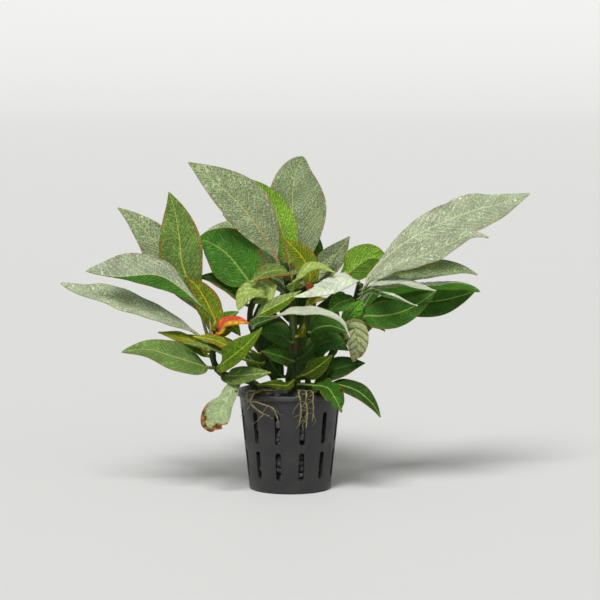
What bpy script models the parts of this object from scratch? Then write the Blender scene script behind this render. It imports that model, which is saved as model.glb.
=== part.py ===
"""Giant hygrophila, a broad-leaved aquarium plant, in a slotted pot of black gravel.

Run it with blender --background --python part.py, or from Blender's text editor.
+Z is up, X runs across the plant and -Y is its front. The origin is the middle of the pot's base.
Sizes below are in millimetres, because a plant is read most easily in them. MM turns them into metres.
"""

import math

import bmesh
import bpy
from mathutils import Vector

MM = 0.001

# Clearance between pieces that touch on the real plant
GAP = 0.35

# The pot: a standard 54 mm aquarium nursery pot
POT_HEIGHT = 50.0
POT_BASE_RADIUS = 20.0
POT_TOP_RADIUS = 25.5
POT_WALL = 1.2
POT_FLOOR = 1.8
POT_RIM_RADIUS = 27.0
POT_RIM_DEPTH = 2.6
POT_STEPS = 24
POT_SLOTS = 12
SLOT_WIDTH = 2.8
SLOT_ROWS = ((7.0, 21.0), (25.0, 41.0))
FLOOR_SLOTS = 4
FLOOR_SLOT_SPAN = (9.0, 15.5)

# The gravel that fills the pot, level under the rim and heaped a little at the middle
GRAVEL_TOP = 47.6
GRAVEL_HEAP = 2.0
SOCKET_FLOOR = 39.0
SOCKET_ROOM = 0.9
GRAVEL_STEPS = 24

# Leaf tissue is far thinner, but a solid needs some body
LEAF_THICKNESS = 0.8
PETIOLE_HALF_WIDTH = 0.9

# How far a petiole runs straight out from its stem before it turns to its leaf
KNEE = 2.2
TIP_HALF_WIDTH = 0.45

STEM_ROUNDNESS = 2
STEM_SAMPLES = 10
ROOT_ROUNDNESS = 1
ROOT_SAMPLES = 9
ROOT_RADIUS = 0.65

COLOURS = {
    "pot": (0.012, 0.012, 0.013, 0.45),
    "gravel": (0.018, 0.019, 0.021, 0.8),
    "stem": (0.10, 0.13, 0.035, 0.6),
    "root": (0.42, 0.36, 0.18, 0.7),
    "silver": (0.19, 0.27, 0.14, 0.5),
    "green": (0.07, 0.20, 0.025, 0.45),
    "lime": (0.20, 0.38, 0.03, 0.5),
    "deep": (0.03, 0.09, 0.018, 0.5),
    "young": (0.26, 0.20, 0.03, 0.5),
    "pale": (0.42, 0.48, 0.33, 0.55),
}

# Each stem: its radius, then the points that its middle passes through, from inside the gravel up
STEMS = {
    "stem_centre": (2.1, [(3, 0, 40), (3, 0, 50), (3, 1, 64), (2, 3, 80), (0, 4, 97), (-3, 5, 113)]),
    "stem_left": (1.7, [(-14, -6, 40), (-14, -6, 47), (-15.5, -6.5, 52), (-21, -8, 55.5),
                        (-34, -11, 59.5), (-38, -11, 66), (-38, -12, 75), (-36, -12, 82)]),
    "stem_right": (1.8, [(13, -5, 40), (13, -5, 50), (18, -6, 63), (26, -8, 78), (31, -9, 90),
                         (35, -6, 104)]),
    "stem_inner_left": (1.7, [(-7, 7, 40), (-7, 7, 50), (-12, 3, 64), (-18, -2, 78), (-20, -3, 88),
                              (-17, -2, 98)]),
    "stem_inner_right": (1.6, [(9, 9, 40), (9, 9, 50), (9, 6, 64), (9, 2, 78), (9, -1, 90),
                               (11, -1, 101)]),
    "stem_back": (1.7, [(-1, 14, 40), (-1, 14, 50), (1, 20, 66), (1, 23, 84), (2, 24, 102)]),
}


class Leaf:
    """One leaf. It leaves its stem at height rises_at and its midrib runs through the points to the tip.

    face is the way its upper side looks at the base, and face_tip the same at the tip.
    fold lifts both halves from the midrib into a V, or lets them hang if it is negative. A pair of
    numbers sets the left half and the right half apart, as seen from the tip.
    lean widens the right half and narrows the left one by that share.
    belly is how far along the blade it is widest, and full makes its outline rounder when under 1.
    """

    def __init__(self, stem, rises_at, points, half_width, face, face_tip=None, fold=0.12,
                 lean=0.0, belly=0.45, full=1.05, petiole=0.12, colour="green", cells=(8, 2)):
        self.stem = stem
        self.rises_at = rises_at
        self.points = points
        self.half_width = half_width
        self.face = face
        self.face_tip = face_tip or face
        self.fold = fold if isinstance(fold, tuple) else (fold, fold)
        self.lean = lean
        self.belly = belly
        self.full = full
        self.petiole = petiole
        self.colour = colour
        self.cells = cells


SMALL = (4, 2)
MIDDLE = (6, 2)
BIG = (8, 4)

LEAVES = {
    # The tall leaves at the top, on the central stem
    "leaf_top_left": Leaf(
        "stem_centre", 111, [(-9, -2, 121), (-16, -6, 132), (-25, -9, 143.5), (-37, -12, 154.5),
                             (-50, -13, 164.5)],
        11.7, (0.1, -1, 0.3), lean=0.16, belly=0.47, colour="silver", cells=BIG),
    "leaf_top_lime": Leaf(
        "stem_centre", 108, [(-2, 10.5, 117), (-3.5, 9, 126), (-7.5, 6, 139), (-13.5, 2, 149),
                             (-21.5, -1, 156)],
        8.2, (-0.2, 1, 0.3), belly=0.38, colour="lime"),
    "leaf_top_round": Leaf(
        "stem_centre", 103, [(1, 16, 110), (1.7, 17, 121), (1.2, 18.5, 136.5), (1.4, 20, 149),
                             (3.2, 21.5, 158.5), (6.6, 23, 165.6)],
        15.2, (0.2, -1, 0.25), fold=0.16, lean=0.13, belly=0.56, full=0.72, colour="silver",
        cells=BIG),
    "leaf_olive_back": Leaf(
        "stem_inner_right", 99.5, [(10, -5, 108), (6, -5, 117), (-3, -6, 126.5)],
        6, (0, -1, 0.1), colour="young", cells=MIDDLE),
    "leaf_behind_round": Leaf(
        "stem_back", 100.5, [(8, 27, 107), (11, 26, 114), (12, 25, 122), (11.5, 24, 129.5)],
        6, (0, -1, 0.2), cells=MIDDLE),
    # The fan of leaves on the left stem
    "leaf_left_upright": Leaf(
        "stem_left", 80.5, [(-44, -9, 93), (-50.5, -12, 106.5), (-53.5, -13, 115.5),
                            (-54.5, -14, 126.5), (-56.5, -15, 140), (-59.5, -15, 150)],
        11, (0.15, -1, 0.3), belly=0.5, petiole=0.2, colour="silver", cells=BIG),
    "leaf_left_back": Leaf(
        "stem_left", 76.5, [(-45, -5, 90), (-53.5, -2, 102), (-61.5, 1, 114), (-68, 2, 124.5),
                            (-77.5, 3, 134.5), (-86, 3, 141)],
        9.5, (0, -0.8, 0.6), belly=0.5, petiole=0.2, colour="silver", cells=MIDDLE),
    "leaf_left_fold": Leaf(
        "stem_left", 78, [(-39.5, -20.5, 89), (-44.5, -24.5, 95), (-49.3, -27.5, 100.4),
                          (-56, -30, 106), (-62, -32, 109.8), (-68, -33.5, 111),
                          (-76, -35.5, 110.6), (-84, -36.5, 110.2), (-91, -37, 111),
                          (-98.8, -37, 113)],
        11.5, (0, -0.25, 1), (0, -1, 0.25), fold=(-1.1, -0.1), lean=0.12, belly=0.6, full=0.85,
        petiole=0.24, colour="pale", cells=BIG),
    "leaf_left_long": Leaf(
        "stem_left", 74.5, [(-47, -16, 80.5), (-54, -18.5, 85), (-58, -19.5, 86.8),
                            (-71.5, -22, 93), (-82.5, -24, 97.3), (-93.5, -25.5, 101),
                            (-101.5, -26, 102.4), (-112, -27, 106.2)],
        7.5, (0, -0.6, 0.85), belly=0.52, full=0.8, petiole=0.16, colour="pale"),
    "leaf_left_lower": Leaf(
        "stem_left", 63, [(-46, -21, 65.5), (-57, -28, 70), (-70, -31, 74), (-82, -34, 73)],
        8.5, (0, -0.75, 0.65), belly=0.36, full=0.9, cells=MIDDLE),
    "leaf_young_red": Leaf(
        "stem_left", 81.3, [(-37, -15.2, 86.5), (-39, -15.7, 91), (-42.3, -16.8, 98),
                            (-46.5, -17.6, 104.3), (-51, -18, 108)],
        6.6, (0.25, -1, 0.2), petiole=0.04, colour="young", cells=MIDDLE),
    "leaf_yellow_left": Leaf(
        "stem_inner_left", 69, [(-20, -9, 71), (-29, -14.5, 73), (-38, -19, 77.3),
                                (-47.5, -21, 79)],
        4.2, (0, -0.7, 0.7), petiole=0.3, colour="young", cells=MIDDLE),
    "leaf_pale_slim": Leaf(
        "stem_inner_left", 64, [(-24, -12, 67), (-32, -17, 70.5), (-43, -22, 74.5),
                                (-52.5, -25, 76.5)],
        4, (0, -0.4, 0.9), petiole=0.45, colour="silver", cells=MIDDLE),
    "leaf_broad_left": Leaf(
        "stem_left", 62, [(-32.5, -24.5, 66.5), (-26, -29, 72), (-19.5, -31, 78),
                          (-13.5, -29, 84.5)],
        7, (-0.45, -0.7, 0.5), fold=0.25),
    "leaf_low_left": Leaf(
        "stem_left", 58.5, [(-31, -21, 59.5), (-24.5, -26, 60.3), (-17, -29, 61.5),
                            (-9.2, -31, 62.5)],
        5, (0, -0.8, 0.5), cells=MIDDLE),
    "leaf_damaged": Leaf(
        "stem_left", 55.5, [(-24, -18, 57.5), (-27.5, -25, 55), (-31.5, -27.5, 47.5),
                            (-36.5, -28.5, 40), (-39.5, -30, 33)],
        7.2, (-0.2, -1, 0.25), belly=0.72, full=0.4, petiole=0.28, colour="pale"),
    # The middle of the plant
    "leaf_green_disc": Leaf(
        "stem_inner_left", 97, [(-20, -4, 103.5), (-24, -3, 109.5), (-31.5, -2, 118.5),
                                (-40, -1, 124), (-46, 0, 125.5)],
        13.3, (0.05, -1, 0.1), lean=0.09, full=0.85, cells=BIG),
    "leaf_back_pale": Leaf(
        "stem_back", 98, [(-10, 18, 112), (-22, 12, 124.5), (-33, 9, 128), (-46.5, 7, 125)],
        10, (0, -0.8, 0.6), colour="silver", cells=MIDDLE),
    "leaf_under_disc": Leaf(
        "stem_inner_left", 92, [(-29, 0, 101), (-38, 1, 106), (-46, 2, 106)],
        5, (0, -0.7, 0.7), colour="deep", cells=MIDDLE),
    "leaf_arch_red": Leaf(
        "stem_centre", 105, [(-1.5, -5, 110), (-9, -10, 110.5), (-15.5, -13, 108),
                             (-19.5, -15, 104.5)],
        5.2, (0, -0.6, 0.8), (-0.6, -0.6, 0.3), colour="silver", cells=MIDDLE),
    "leaf_round_pale": Leaf(
        "stem_inner_left", 94.5, [(-12, -8.5, 98.8), (-15.5, -12.5, 101), (-21.5, -17, 99.5),
                                  (-25.5, -19, 92)],
        8, (-0.2, -0.8, 0.6), (-0.8, -0.6, 0.2), belly=0.42, full=0.75, petiole=0.14, colour="lime",
        cells=MIDDLE),
    "leaf_diagonal": Leaf(
        "stem_inner_left", 85, [(-16, -14, 88.5), (-9, -19, 93), (-2, -22, 97), (5.5, -24, 102)],
        4.8, (-0.3, -0.8, 0.6), petiole=0.15, colour="silver", cells=MIDDLE),
    "leaf_long_arch": Leaf(
        "stem_inner_left", 81.5, [(-17, -17, 85), (-9, -26.5, 89), (4, -32, 92.5), (16, -35, 92.5),
                                  (25, -36, 88.5), (29, -36, 80.5)],
        7.5, (0, -0.15, 1), (0.8, -0.3, 0.5), petiole=0.08, colour="pale"),
    "leaf_under_arch": Leaf(
        "stem_inner_right", 79, [(13, -15, 82.5), (20, -22, 84.5), (29, -25, 81.5)],
        6.5, (0, -0.95, 0.3), cells=MIDDLE),
    "leaf_dark_inner": Leaf(
        "stem_inner_right", 66, [(13, -6, 71.8), (20, -12, 75.5), (29, -15.5, 71.5)],
        7, (0, -0.9, 0.4), colour="deep", cells=MIDDLE),
    "leaf_inner_left": Leaf(
        "stem_centre", 73, [(-5, -8, 78.5), (-15, -12, 80)],
        6.6, (0, -0.9, 0.5), colour="deep", cells=MIDDLE),
    "leaf_right_arch": Leaf(
        "stem_centre", 98, [(2, -10, 104.5), (5, -15, 109.5), (10, -17.5, 113), (15, -18.5, 113.5),
                            (22, -19, 110.5)],
        5, (0, -0.55, 0.85), colour="silver", cells=MIDDLE),
    # The lower right
    "leaf_low_right_light": Leaf(
        "stem_centre", 56, [(9, -13, 60), (14.5, -19, 64.3), (21, -22, 70)],
        5, (0, -1, 0.25), petiole=0.3, cells=MIDDLE),
    "leaf_low_right_dark": Leaf(
        "stem_right", 56, [(20, -13, 60.5), (29, -16, 64), (37, -18, 65.5)],
        6.5, (0, -0.75, 0.7), colour="deep", cells=MIDDLE),
    "leaf_low_right_hang": Leaf(
        "stem_right", 53.5, [(22, -17, 55), (33, -24, 52.5), (40.5, -27, 46.5), (44.5, -28, 40)],
        5.3, (0.35, -0.7, 0.55), cells=MIDDLE),
    "leaf_torn": Leaf(
        "stem_centre", 52, [(9, -11, 53.5), (18, -22, 54), (22, -30, 50), (25.5, -32.5, 43)],
        6, (0.2, -0.9, 0.4), full=0.7, petiole=0.35, cells=MIDDLE),
    "leaf_old_spotted": Leaf(
        "stem_right", 80, [(31.5, -17, 82.5), (33, -21, 78), (33, -23, 73), (31, -24, 67)],
        6, (0.1, -1, 0.1), full=0.75, petiole=0.1, colour="pale", cells=MIDDLE),
    # The right stem's sweep of leaves
    "leaf_right_big": Leaf(
        "stem_right", 102, [(39, -4, 107), (52, -2, 120), (70, 0, 131), (93, 3, 140),
                            (104, 5, 142.5), (120, 6, 148)],
        12.6, (-0.3, -0.75, 0.65), lean=0.15, belly=0.55, petiole=0.14, colour="pale", cells=BIG),
    "leaf_right_under": Leaf(
        "stem_right", 100.5, [(41, -14, 108), (51, -19, 113.8), (66, -24, 119.6),
                              (78.5, -27, 125.3), (88, -28, 130), (97, -28, 128.6)],
        10, (-0.15, -0.5, 0.85), petiole=0.1, colour="pale", cells=BIG),
    "leaf_right_grey": Leaf(
        "stem_right", 95.5, [(45, 1, 104), (60, 4, 108.5), (76, 5, 110.5), (86, 5, 110),
                             (94, 4, 107.3)],
        8, (0, -0.6, 0.8), colour="silver", cells=MIDDLE),
    "leaf_right_curl": Leaf(
        "stem_right", 92, [(42, -11, 101), (52, -12, 103), (66, -13, 104.6), (78, -13, 105.2),
                           (87, -13, 104.3), (94, -13, 100.5)],
        6, (0, 0.65, 0.8), fold=(0.1, -0.75), lean=-0.4, belly=0.55, full=0.6, petiole=0.04,
        colour="pale"),
    "leaf_right_cream": Leaf(
        "stem_right", 98.3, [(42, -20, 105.2), (54, -26, 106.6), (62.5, -29, 104.8),
                             (71.5, -30, 102.6)],
        5.5, (0, -0.3, 1), colour="pale", cells=MIDDLE),
    "leaf_right_roll": Leaf(
        "stem_right", 96, [(39, -18, 100.8), (46.5, -30, 100.2), (53.7, -34, 98.6), (62, -37, 96)],
        3.5, (0, 0.1, 1), fold=0.6, colour="pale", cells=MIDDLE),
    "leaf_right_far_low": Leaf(
        "stem_right", 87.5, [(45, -2, 94.3), (60, 0, 93.5), (75, 0, 94.7), (84.5, -1, 97),
                             (92.5, -2, 99.8)],
        8, (0, -0.95, 0.3), belly=0.6),
    "leaf_right_near_low": Leaf(
        "stem_right", 85.5, [(37, -14, 88.5), (44.5, -18, 89), (54, -21, 91), (63, -22, 95.4),
                             (72, -22, 102)],
        7.2, (0.2, -0.95, 0.3), belly=0.4),
    "leaf_right_blade": Leaf(
        "stem_right", 103.3, [(30, -15, 107.5), (22, -20, 104.5), (12, -25, 101), (2, -28, 99.5)],
        5.5, (0, -0.6, 0.8), belly=0.4, petiole=0.04, colour="pale", cells=MIDDLE),
    "leaf_back_lime": Leaf(
        "stem_inner_right", 99.5, [(21, 4, 105.5), (29, 6, 108), (35, 7, 112.5), (41, 7, 115.5),
                                   (49, 5, 114)],
        9.5, (-0.3, 0.9, 0.4), full=0.75, petiole=0.4, colour="lime"),
    "leaf_back_point": Leaf(
        "stem_back", 99, [(13, 21, 106), (21.5, 20, 114), (30, 19, 125.3)],
        7, (0, -0.9, 0.4), petiole=0.15, colour="silver", cells=MIDDLE),
    # The far side, which the front view hides
    "leaf_rear_left": Leaf(
        "stem_back", 93, [(-12, 38, 104), (-25, 54, 108), (-36, 70, 101)],
        11, (-0.3, 0.2, 1), colour="silver", cells=MIDDLE),
    "leaf_rear_right": Leaf(
        "stem_back", 63, [(10, 29, 68), (17, 33, 80), (22, 34, 95)],
        10.5, (0, -1, 0.35), colour="deep", cells=MIDDLE),
    "leaf_rear_low": Leaf(
        "stem_back", 60, [(-6, 29, 66), (-12, 33, 78), (-15, 34, 92)],
        10.5, (0, -1, 0.35), colour="deep", cells=MIDDLE),
    "leaf_rear_high_left": Leaf(
        "stem_back", 101, [(-11, 33, 113), (-23, 45, 127), (-35, 55, 134)],
        10, (0.2, -0.5, 0.8), colour="silver", cells=MIDDLE),
    "leaf_rear_upright": Leaf(
        "stem_back", 95.5, [(4, 34, 112), (1, 41, 129), (-1, 45, 146)],
        9.5, (0, -0.9, 0.5), colour="silver", cells=MIDDLE),
    "leaf_rear_mid_left": Leaf(
        "stem_back", 76, [(2.5, 34, 79), (3, 41.5, 85), (4, 45, 95), (3, 47, 107)],
        10, (0, -1, 0.35), petiole=0.24, colour="deep"),
    "leaf_rear_mid_right": Leaf(
        "stem_right", 70, [(27, 6, 74), (39, 20, 80), (52, 33, 79)],
        9, (0.2, 0.2, 1), cells=MIDDLE),
}

# Shoot tips and leaflets too small to be pieces of their own, which grow fused to their stem
LEAFLETS = {
    "stem_left": [
        Leaf(
            "stem_left", 68, [(-46, -8, 73), (-58, -9, 77)],
            4.5, (0, -0.8, 0.4), cells=SMALL),
        Leaf(
            "stem_left", 70.5, [(-46, -15, 75), (-55, -18, 78.5), (-65, -19, 81)],
            3.8, (0, -0.5, 0.85), colour="young", cells=SMALL),
        Leaf(
            "stem_left", 80, [(-32, -18, 85.5), (-25.5, -22, 87), (-20, -25, 86)],
            3.5, (0, -0.7, 0.7), colour="young", cells=SMALL),
        Leaf(
            "stem_left", 80, [(-33, -12, 85.5), (-25.5, -12.5, 90.5)],
            3.6, (0, -0.9, 0.3), cells=SMALL),
        Leaf(
            "stem_left", 80.5, [(-30, -13.5, 84.5), (-24.5, -16.5, 79)],
            3.8, (0, -0.9, 0.4), cells=SMALL),
    ],
    "stem_right": [
        Leaf(
            "stem_right", 84, [(29, -14, 87.5), (36.5, -17.5, 97)],
            4.8, (0.3, -0.9, 0.1), cells=SMALL),
        Leaf(
            "stem_right", 80, [(39, -14, 84), (47, -18, 81.5)],
            2.2, (0, -0.5, 0.9), colour="young", cells=SMALL),
        Leaf(
            "stem_right", 95, [(29, -14, 96.5), (24, -17, 95), (19, -19, 91)],
            5.5, (0, -0.9, 0.4), cells=SMALL),
        Leaf(
            "stem_right", 98.8, [(42, -6.8, 103.4), (54, -8.5, 108)],
            2.6, (0, -0.6, 0.8), colour="pale", cells=SMALL),
    ],
    "stem_inner_right": [
        Leaf(
            "stem_inner_right", 97, [(11, -13, 100.5), (8.5, -18.5, 105.5)],
            3.2, (0, -0.9, 0.4), colour="young", cells=SMALL),
        Leaf(
            "stem_inner_right", 96, [(14, -7, 102), (21, -8, 105.5), (30, -6, 109)],
            1.7, (0, -0.7, 0.7), colour="young", cells=SMALL),
        Leaf(
            "stem_inner_right", 90, [(11, -8, 95), (18, -12, 97)],
            2.4, (0, -0.7, 0.7), colour="young", cells=SMALL),
    ],
    "stem_centre": [
        Leaf(
            "stem_centre", 64, [(-4, -9, 67.6), (-14, -14, 71)],
            4, (0, -1, 0.3), cells=SMALL),
        Leaf(
            "stem_centre", 54, [(-2, -16, 54), (-9, -23, 55.5), (-16, -27, 56)],
            3, (0, -0.8, 0.6), cells=SMALL),
        Leaf(
            "stem_centre", 76, [(6, -5, 79), (7, -8, 84)],
            2, (0, -0.9, 0.3), colour="young", cells=SMALL),
        Leaf(
            "stem_centre", 65, [(8, -9, 69), (12.5, -13.5, 75)],
            4, (0, -1, 0.3), colour="deep", cells=SMALL),
    ],
    "stem_inner_left": [
        Leaf(
            "stem_inner_left", 68, [(-8, 5, 72), (-4, 7.5, 80)],
            5, (0, -1, 0.3), colour="deep", cells=SMALL),
        Leaf(
            "stem_inner_left", 58, [(-16, 6, 61), (-23, 8, 68)],
            4.5, (0, -1, 0.3), cells=SMALL),
    ],
    "stem_back": [
        Leaf(
            "stem_back", 101, [(13, 16, 106), (22.5, 13, 117)],
            3.2, (0, -1, 0.2), colour="silver", cells=SMALL),
        Leaf(
            "stem_back", 54, [(-8, 20, 58), (-13, 22, 68)],
            5.5, (0, -1, 0.3), colour="deep", cells=SMALL),
        Leaf(
            "stem_back", 54, [(8, 20, 58), (14, 22, 68)],
            5.5, (0, -1, 0.3), colour="deep", cells=SMALL),
    ],
}

# Root strands, each from the crown under the stems, over the rim and down outside the pot
ROOTS = {
    "roots_front": ((4, -12, 50.8), [
        [(4.5, -20, 51.8), (4.5, -27, 52.2), (5, -29.2, 49), (5.5, -29.6, 43), (4.5, -29.4, 36)],
        [(7, -20, 51.8), (8, -26, 52.2), (8, -28.8, 49), (8.5, -29, 42), (8, -28.8, 35)],
        [(10, -19, 51.6), (11.5, -24.8, 51.8), (11.2, -27.8, 49), (11.6, -28, 44), (11, -27.8, 38)],
    ]),
    "roots_left": ((-8, -13, 50.8), [
        [(-16, -19, 52), (-21, -21, 51.8), (-21, -20.8, 48), (-15, -25, 46.5), (-8.5, -28, 44.5),
         (-6.5, -28.8, 41), (-5.5, -29, 37)],
        [(-14, -20.5, 52.2), (-18, -24, 51), (-19, -22.8, 46), (-14, -26, 42), (-10, -27.6, 40.5)],
    ]),
}


def smooth_curve(points, t):
    """The point at t, from 0 to 1 by length, on the smooth curve that passes through the points."""
    gaps = [(b - a).length for a, b in zip(points, points[1:])]
    slopes = [(points[i + 1] - points[i - 1]) / (gaps[i - 1] + gaps[i]) for i in range(1, len(gaps))]
    first = (points[1] - points[0]) / gaps[0]
    last = (points[-1] - points[-2]) / gaps[-1]
    slopes = [first] + slopes + [last * 1.5 - slopes[-1] * 0.5]
    place = min(max(t, 0.0), 1.0) * sum(gaps)
    i = 0
    while place > gaps[i] and i < len(gaps) - 1:
        place -= gaps[i]
        i += 1
    u = place / gaps[i]
    return (
        points[i] * (2 * u ** 3 - 3 * u ** 2 + 1)
        + slopes[i] * (gaps[i] * (u ** 3 - 2 * u ** 2 + u))
        + points[i + 1] * (3 * u ** 2 - 2 * u ** 3)
        + slopes[i + 1] * (gaps[i] * (u ** 3 - u ** 2))
    )


def stem_place(stem, height):
    """The middle of the stem at that height above the pot's base, and the way that it runs there."""
    points = [Vector(p) for p in STEMS[stem][1]]
    low, high = 0.0, 1.0
    for _ in range(24):
        middle = (low + high) / 2
        if smooth_curve(points, middle).z < height:
            low = middle
        else:
            high = middle
    along = smooth_curve(points, min(low + 0.02, 1)) - smooth_curve(points, max(low - 0.02, 0))
    return smooth_curve(points, low), along.normalized()


def midrib_points(leaf, fused=False):
    """The leaf's midrib points, from just off its stem's side, or from inside the stem if fused to it."""
    root, along = stem_place(leaf.stem, leaf.rises_at)
    reach = Vector(leaf.points[0]) - root
    out = (reach - along * reach.dot(along)).normalized()
    start = root if fused else root + out * (STEMS[leaf.stem][0] + GAP * 1.5)
    knee = root + out * (STEMS[leaf.stem][0] + KNEE) + along * KNEE * 0.25
    return [start, knee] + [Vector(p) for p in leaf.points]


def blade_share(leaf, s):
    """The share of the leaf's full half width at s along it: petiole, belly, then a drawn-out tip."""
    if s <= leaf.petiole:
        return 0.0
    b = (s - leaf.petiole) / (1 - leaf.petiole)
    bend = math.log(0.5) / math.log(leaf.belly)
    return math.sin(math.pi * min(b ** bend, 1.0)) ** leaf.full


def leaf_point(leaf, points, s, across):
    """The point s along the leaf, from 0 to 1, and across it, from -1 to 1."""
    step = 0.01
    middle = smooth_curve(points, s)
    ahead = smooth_curve(points, min(s + step, 1)) - smooth_curve(points, max(s - step, 0))
    ahead.normalize()
    face = Vector(leaf.face).lerp(Vector(leaf.face_tip), s)
    up = (face - ahead * face.dot(ahead)).normalized()
    side = ahead.cross(up)
    least = PETIOLE_HALF_WIDTH * (1 - s) + TIP_HALF_WIDTH * s
    right = across > 0
    widest = leaf.half_width * (1 + leaf.lean * (1 if right else -1))
    half = least + (widest - least) * blade_share(leaf, s)
    fold = leaf.fold[int(right)]
    flat = 1 / math.sqrt(1 + fold ** 2)
    lift = fold * abs(across) * half * blade_share(leaf, s)
    return middle + side * (across * half * flat) + up * lift * flat


def material(name):
    made = bpy.data.materials.get(name)
    if made is None:
        made = bpy.data.materials.new(name)
        made.use_nodes = True
        shader = made.node_tree.nodes["Principled BSDF"]
        red, green, blue, rough = COLOURS[name]
        shader.inputs["Base Color"].default_value = (red, green, blue, 1)
        shader.inputs["Roughness"].default_value = rough
        shader.inputs["Metallic"].default_value = 0.0
    return made


def new_object(name, mesh, colour, group):
    made = bpy.data.objects.new(name, mesh)
    made.data.materials.append(material(colour))
    group.objects.link(made)
    return made


def leaf_mesh(name, leaf, fused=False):
    """An open sheet on the leaf's surface, in metres."""
    along, across = leaf.cells
    points = midrib_points(leaf, fused)
    sheet = bmesh.new()
    bmesh.ops.create_grid(sheet, x_segments=across, y_segments=along, size=1)
    for corner in sheet.verts:
        s = (corner.co.y + 1) / 2
        corner.co = leaf_point(leaf, points, s, corner.co.x) * MM
    mesh = bpy.data.meshes.new(name)
    sheet.to_mesh(mesh)
    sheet.free()
    mesh.shade_smooth()
    return mesh


def thicken(obj):
    solid = obj.modifiers.new("leaf body", "SOLIDIFY")
    solid.thickness = LEAF_THICKNESS * MM
    solid.offset = 0
    solid.use_even_offset = False


def make_leaf(name, leaf, group):
    made = new_object(name, leaf_mesh(name, leaf), leaf.colour, group)
    thicken(made)


def tube_mesh(name, radius, points, samples, roundness, group):
    """A closed tube along the smooth curve through the points, as a mesh object."""
    curve = bpy.data.curves.new(name + "_line", "CURVE")
    curve.dimensions = "3D"
    curve.bevel_depth = radius * MM
    curve.bevel_resolution = roundness
    curve.use_fill_caps = True
    spline = curve.splines.new("POLY")
    spline.points.add(samples - 1)
    for i, knot in enumerate(spline.points):
        knot.co = (*(smooth_curve(points, i / (samples - 1)) * MM), 1)
    line = bpy.data.objects.new(name + "_line", curve)
    group.objects.link(line)
    bpy.context.view_layer.update()
    mesh = bpy.data.meshes.new_from_object(line.evaluated_get(bpy.context.evaluated_depsgraph_get()))
    bpy.data.objects.remove(line)
    skin = bmesh.new()
    skin.from_mesh(mesh)
    bmesh.ops.remove_doubles(skin, verts=skin.verts, dist=1e-6)
    skin.to_mesh(mesh)
    skin.free()
    mesh.name = name
    mesh.shade_smooth()
    return mesh


def fuse(target, mesh, name, colour, helpers):
    """Joins a closed mesh to the target with a Boolean union."""
    helper = new_object(name, mesh, colour, helpers)
    hide_helper(helper)
    union = target.modifiers.new(name, "BOOLEAN")
    union.operation = "UNION"
    union.object = helper
    return helper


def hide_helper(obj):
    obj.hide_render = True
    obj.display_type = "WIRE"


def make_stem(name, group, helpers):
    radius, points = STEMS[name]
    mesh = tube_mesh(name, radius, [Vector(p) for p in points], STEM_SAMPLES, STEM_ROUNDNESS, helpers)
    stem = new_object(name, mesh, "stem", group)
    for i, leaflet in enumerate(LEAFLETS[name]):
        part = f"{name}_leaflet_{i + 1}"
        thicken(fuse(stem, leaf_mesh(part, leaflet, fused=True), part, leaflet.colour, helpers))


def make_roots(name, group, helpers):
    crown, strands = ROOTS[name]
    made = None
    for i, strand in enumerate(strands):
        points = [Vector(crown)] + [Vector(p) for p in strand]
        part = f"{name}_strand_{i + 1}"
        mesh = tube_mesh(part, ROOT_RADIUS, points, ROOT_SAMPLES, ROOT_ROUNDNESS, helpers)
        if made is None:
            made = new_object(name, mesh, "root", group)
        else:
            fuse(made, mesh, part, "root", helpers)


def turned(name, profile, steps, colour, group):
    """A turned solid. The profile is (radius, height) pairs and runs down its outer side first."""
    mesh = bpy.data.meshes.new(name)
    corners = [(radius * MM, 0, height * MM) for radius, height in profile]
    edges = [(i, i + 1) for i in range(len(corners) - 1)]
    mesh.from_pydata(corners, edges, [])
    made = new_object(name, mesh, colour, group)
    screw = made.modifiers.new("turn", "SCREW")
    screw.steps = screw.render_steps = steps
    screw.use_merge_vertices = True
    screw.merge_threshold = 1e-5
    return made


def box_cutter(name, size, place, angle, helpers):
    """A box with its middle at a distance along +X, then turned about the pot's axis by the angle."""
    shape = bmesh.new()
    bmesh.ops.create_cube(shape, size=1)
    for corner in shape.verts:
        corner.co = Vector((corner.co.x * size[0], corner.co.y * size[1], corner.co.z * size[2])) * MM
        corner.co += Vector(place) * MM
    mesh = bpy.data.meshes.new(name)
    shape.to_mesh(mesh)
    shape.free()
    cutter = bpy.data.objects.new(name, mesh)
    cutter.rotation_euler.z = angle
    helpers.objects.link(cutter)
    hide_helper(cutter)
    return cutter


def cut(target, cutter):
    slot = target.modifiers.new(cutter.name, "BOOLEAN")
    slot.operation = "DIFFERENCE"
    slot.object = cutter


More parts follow.
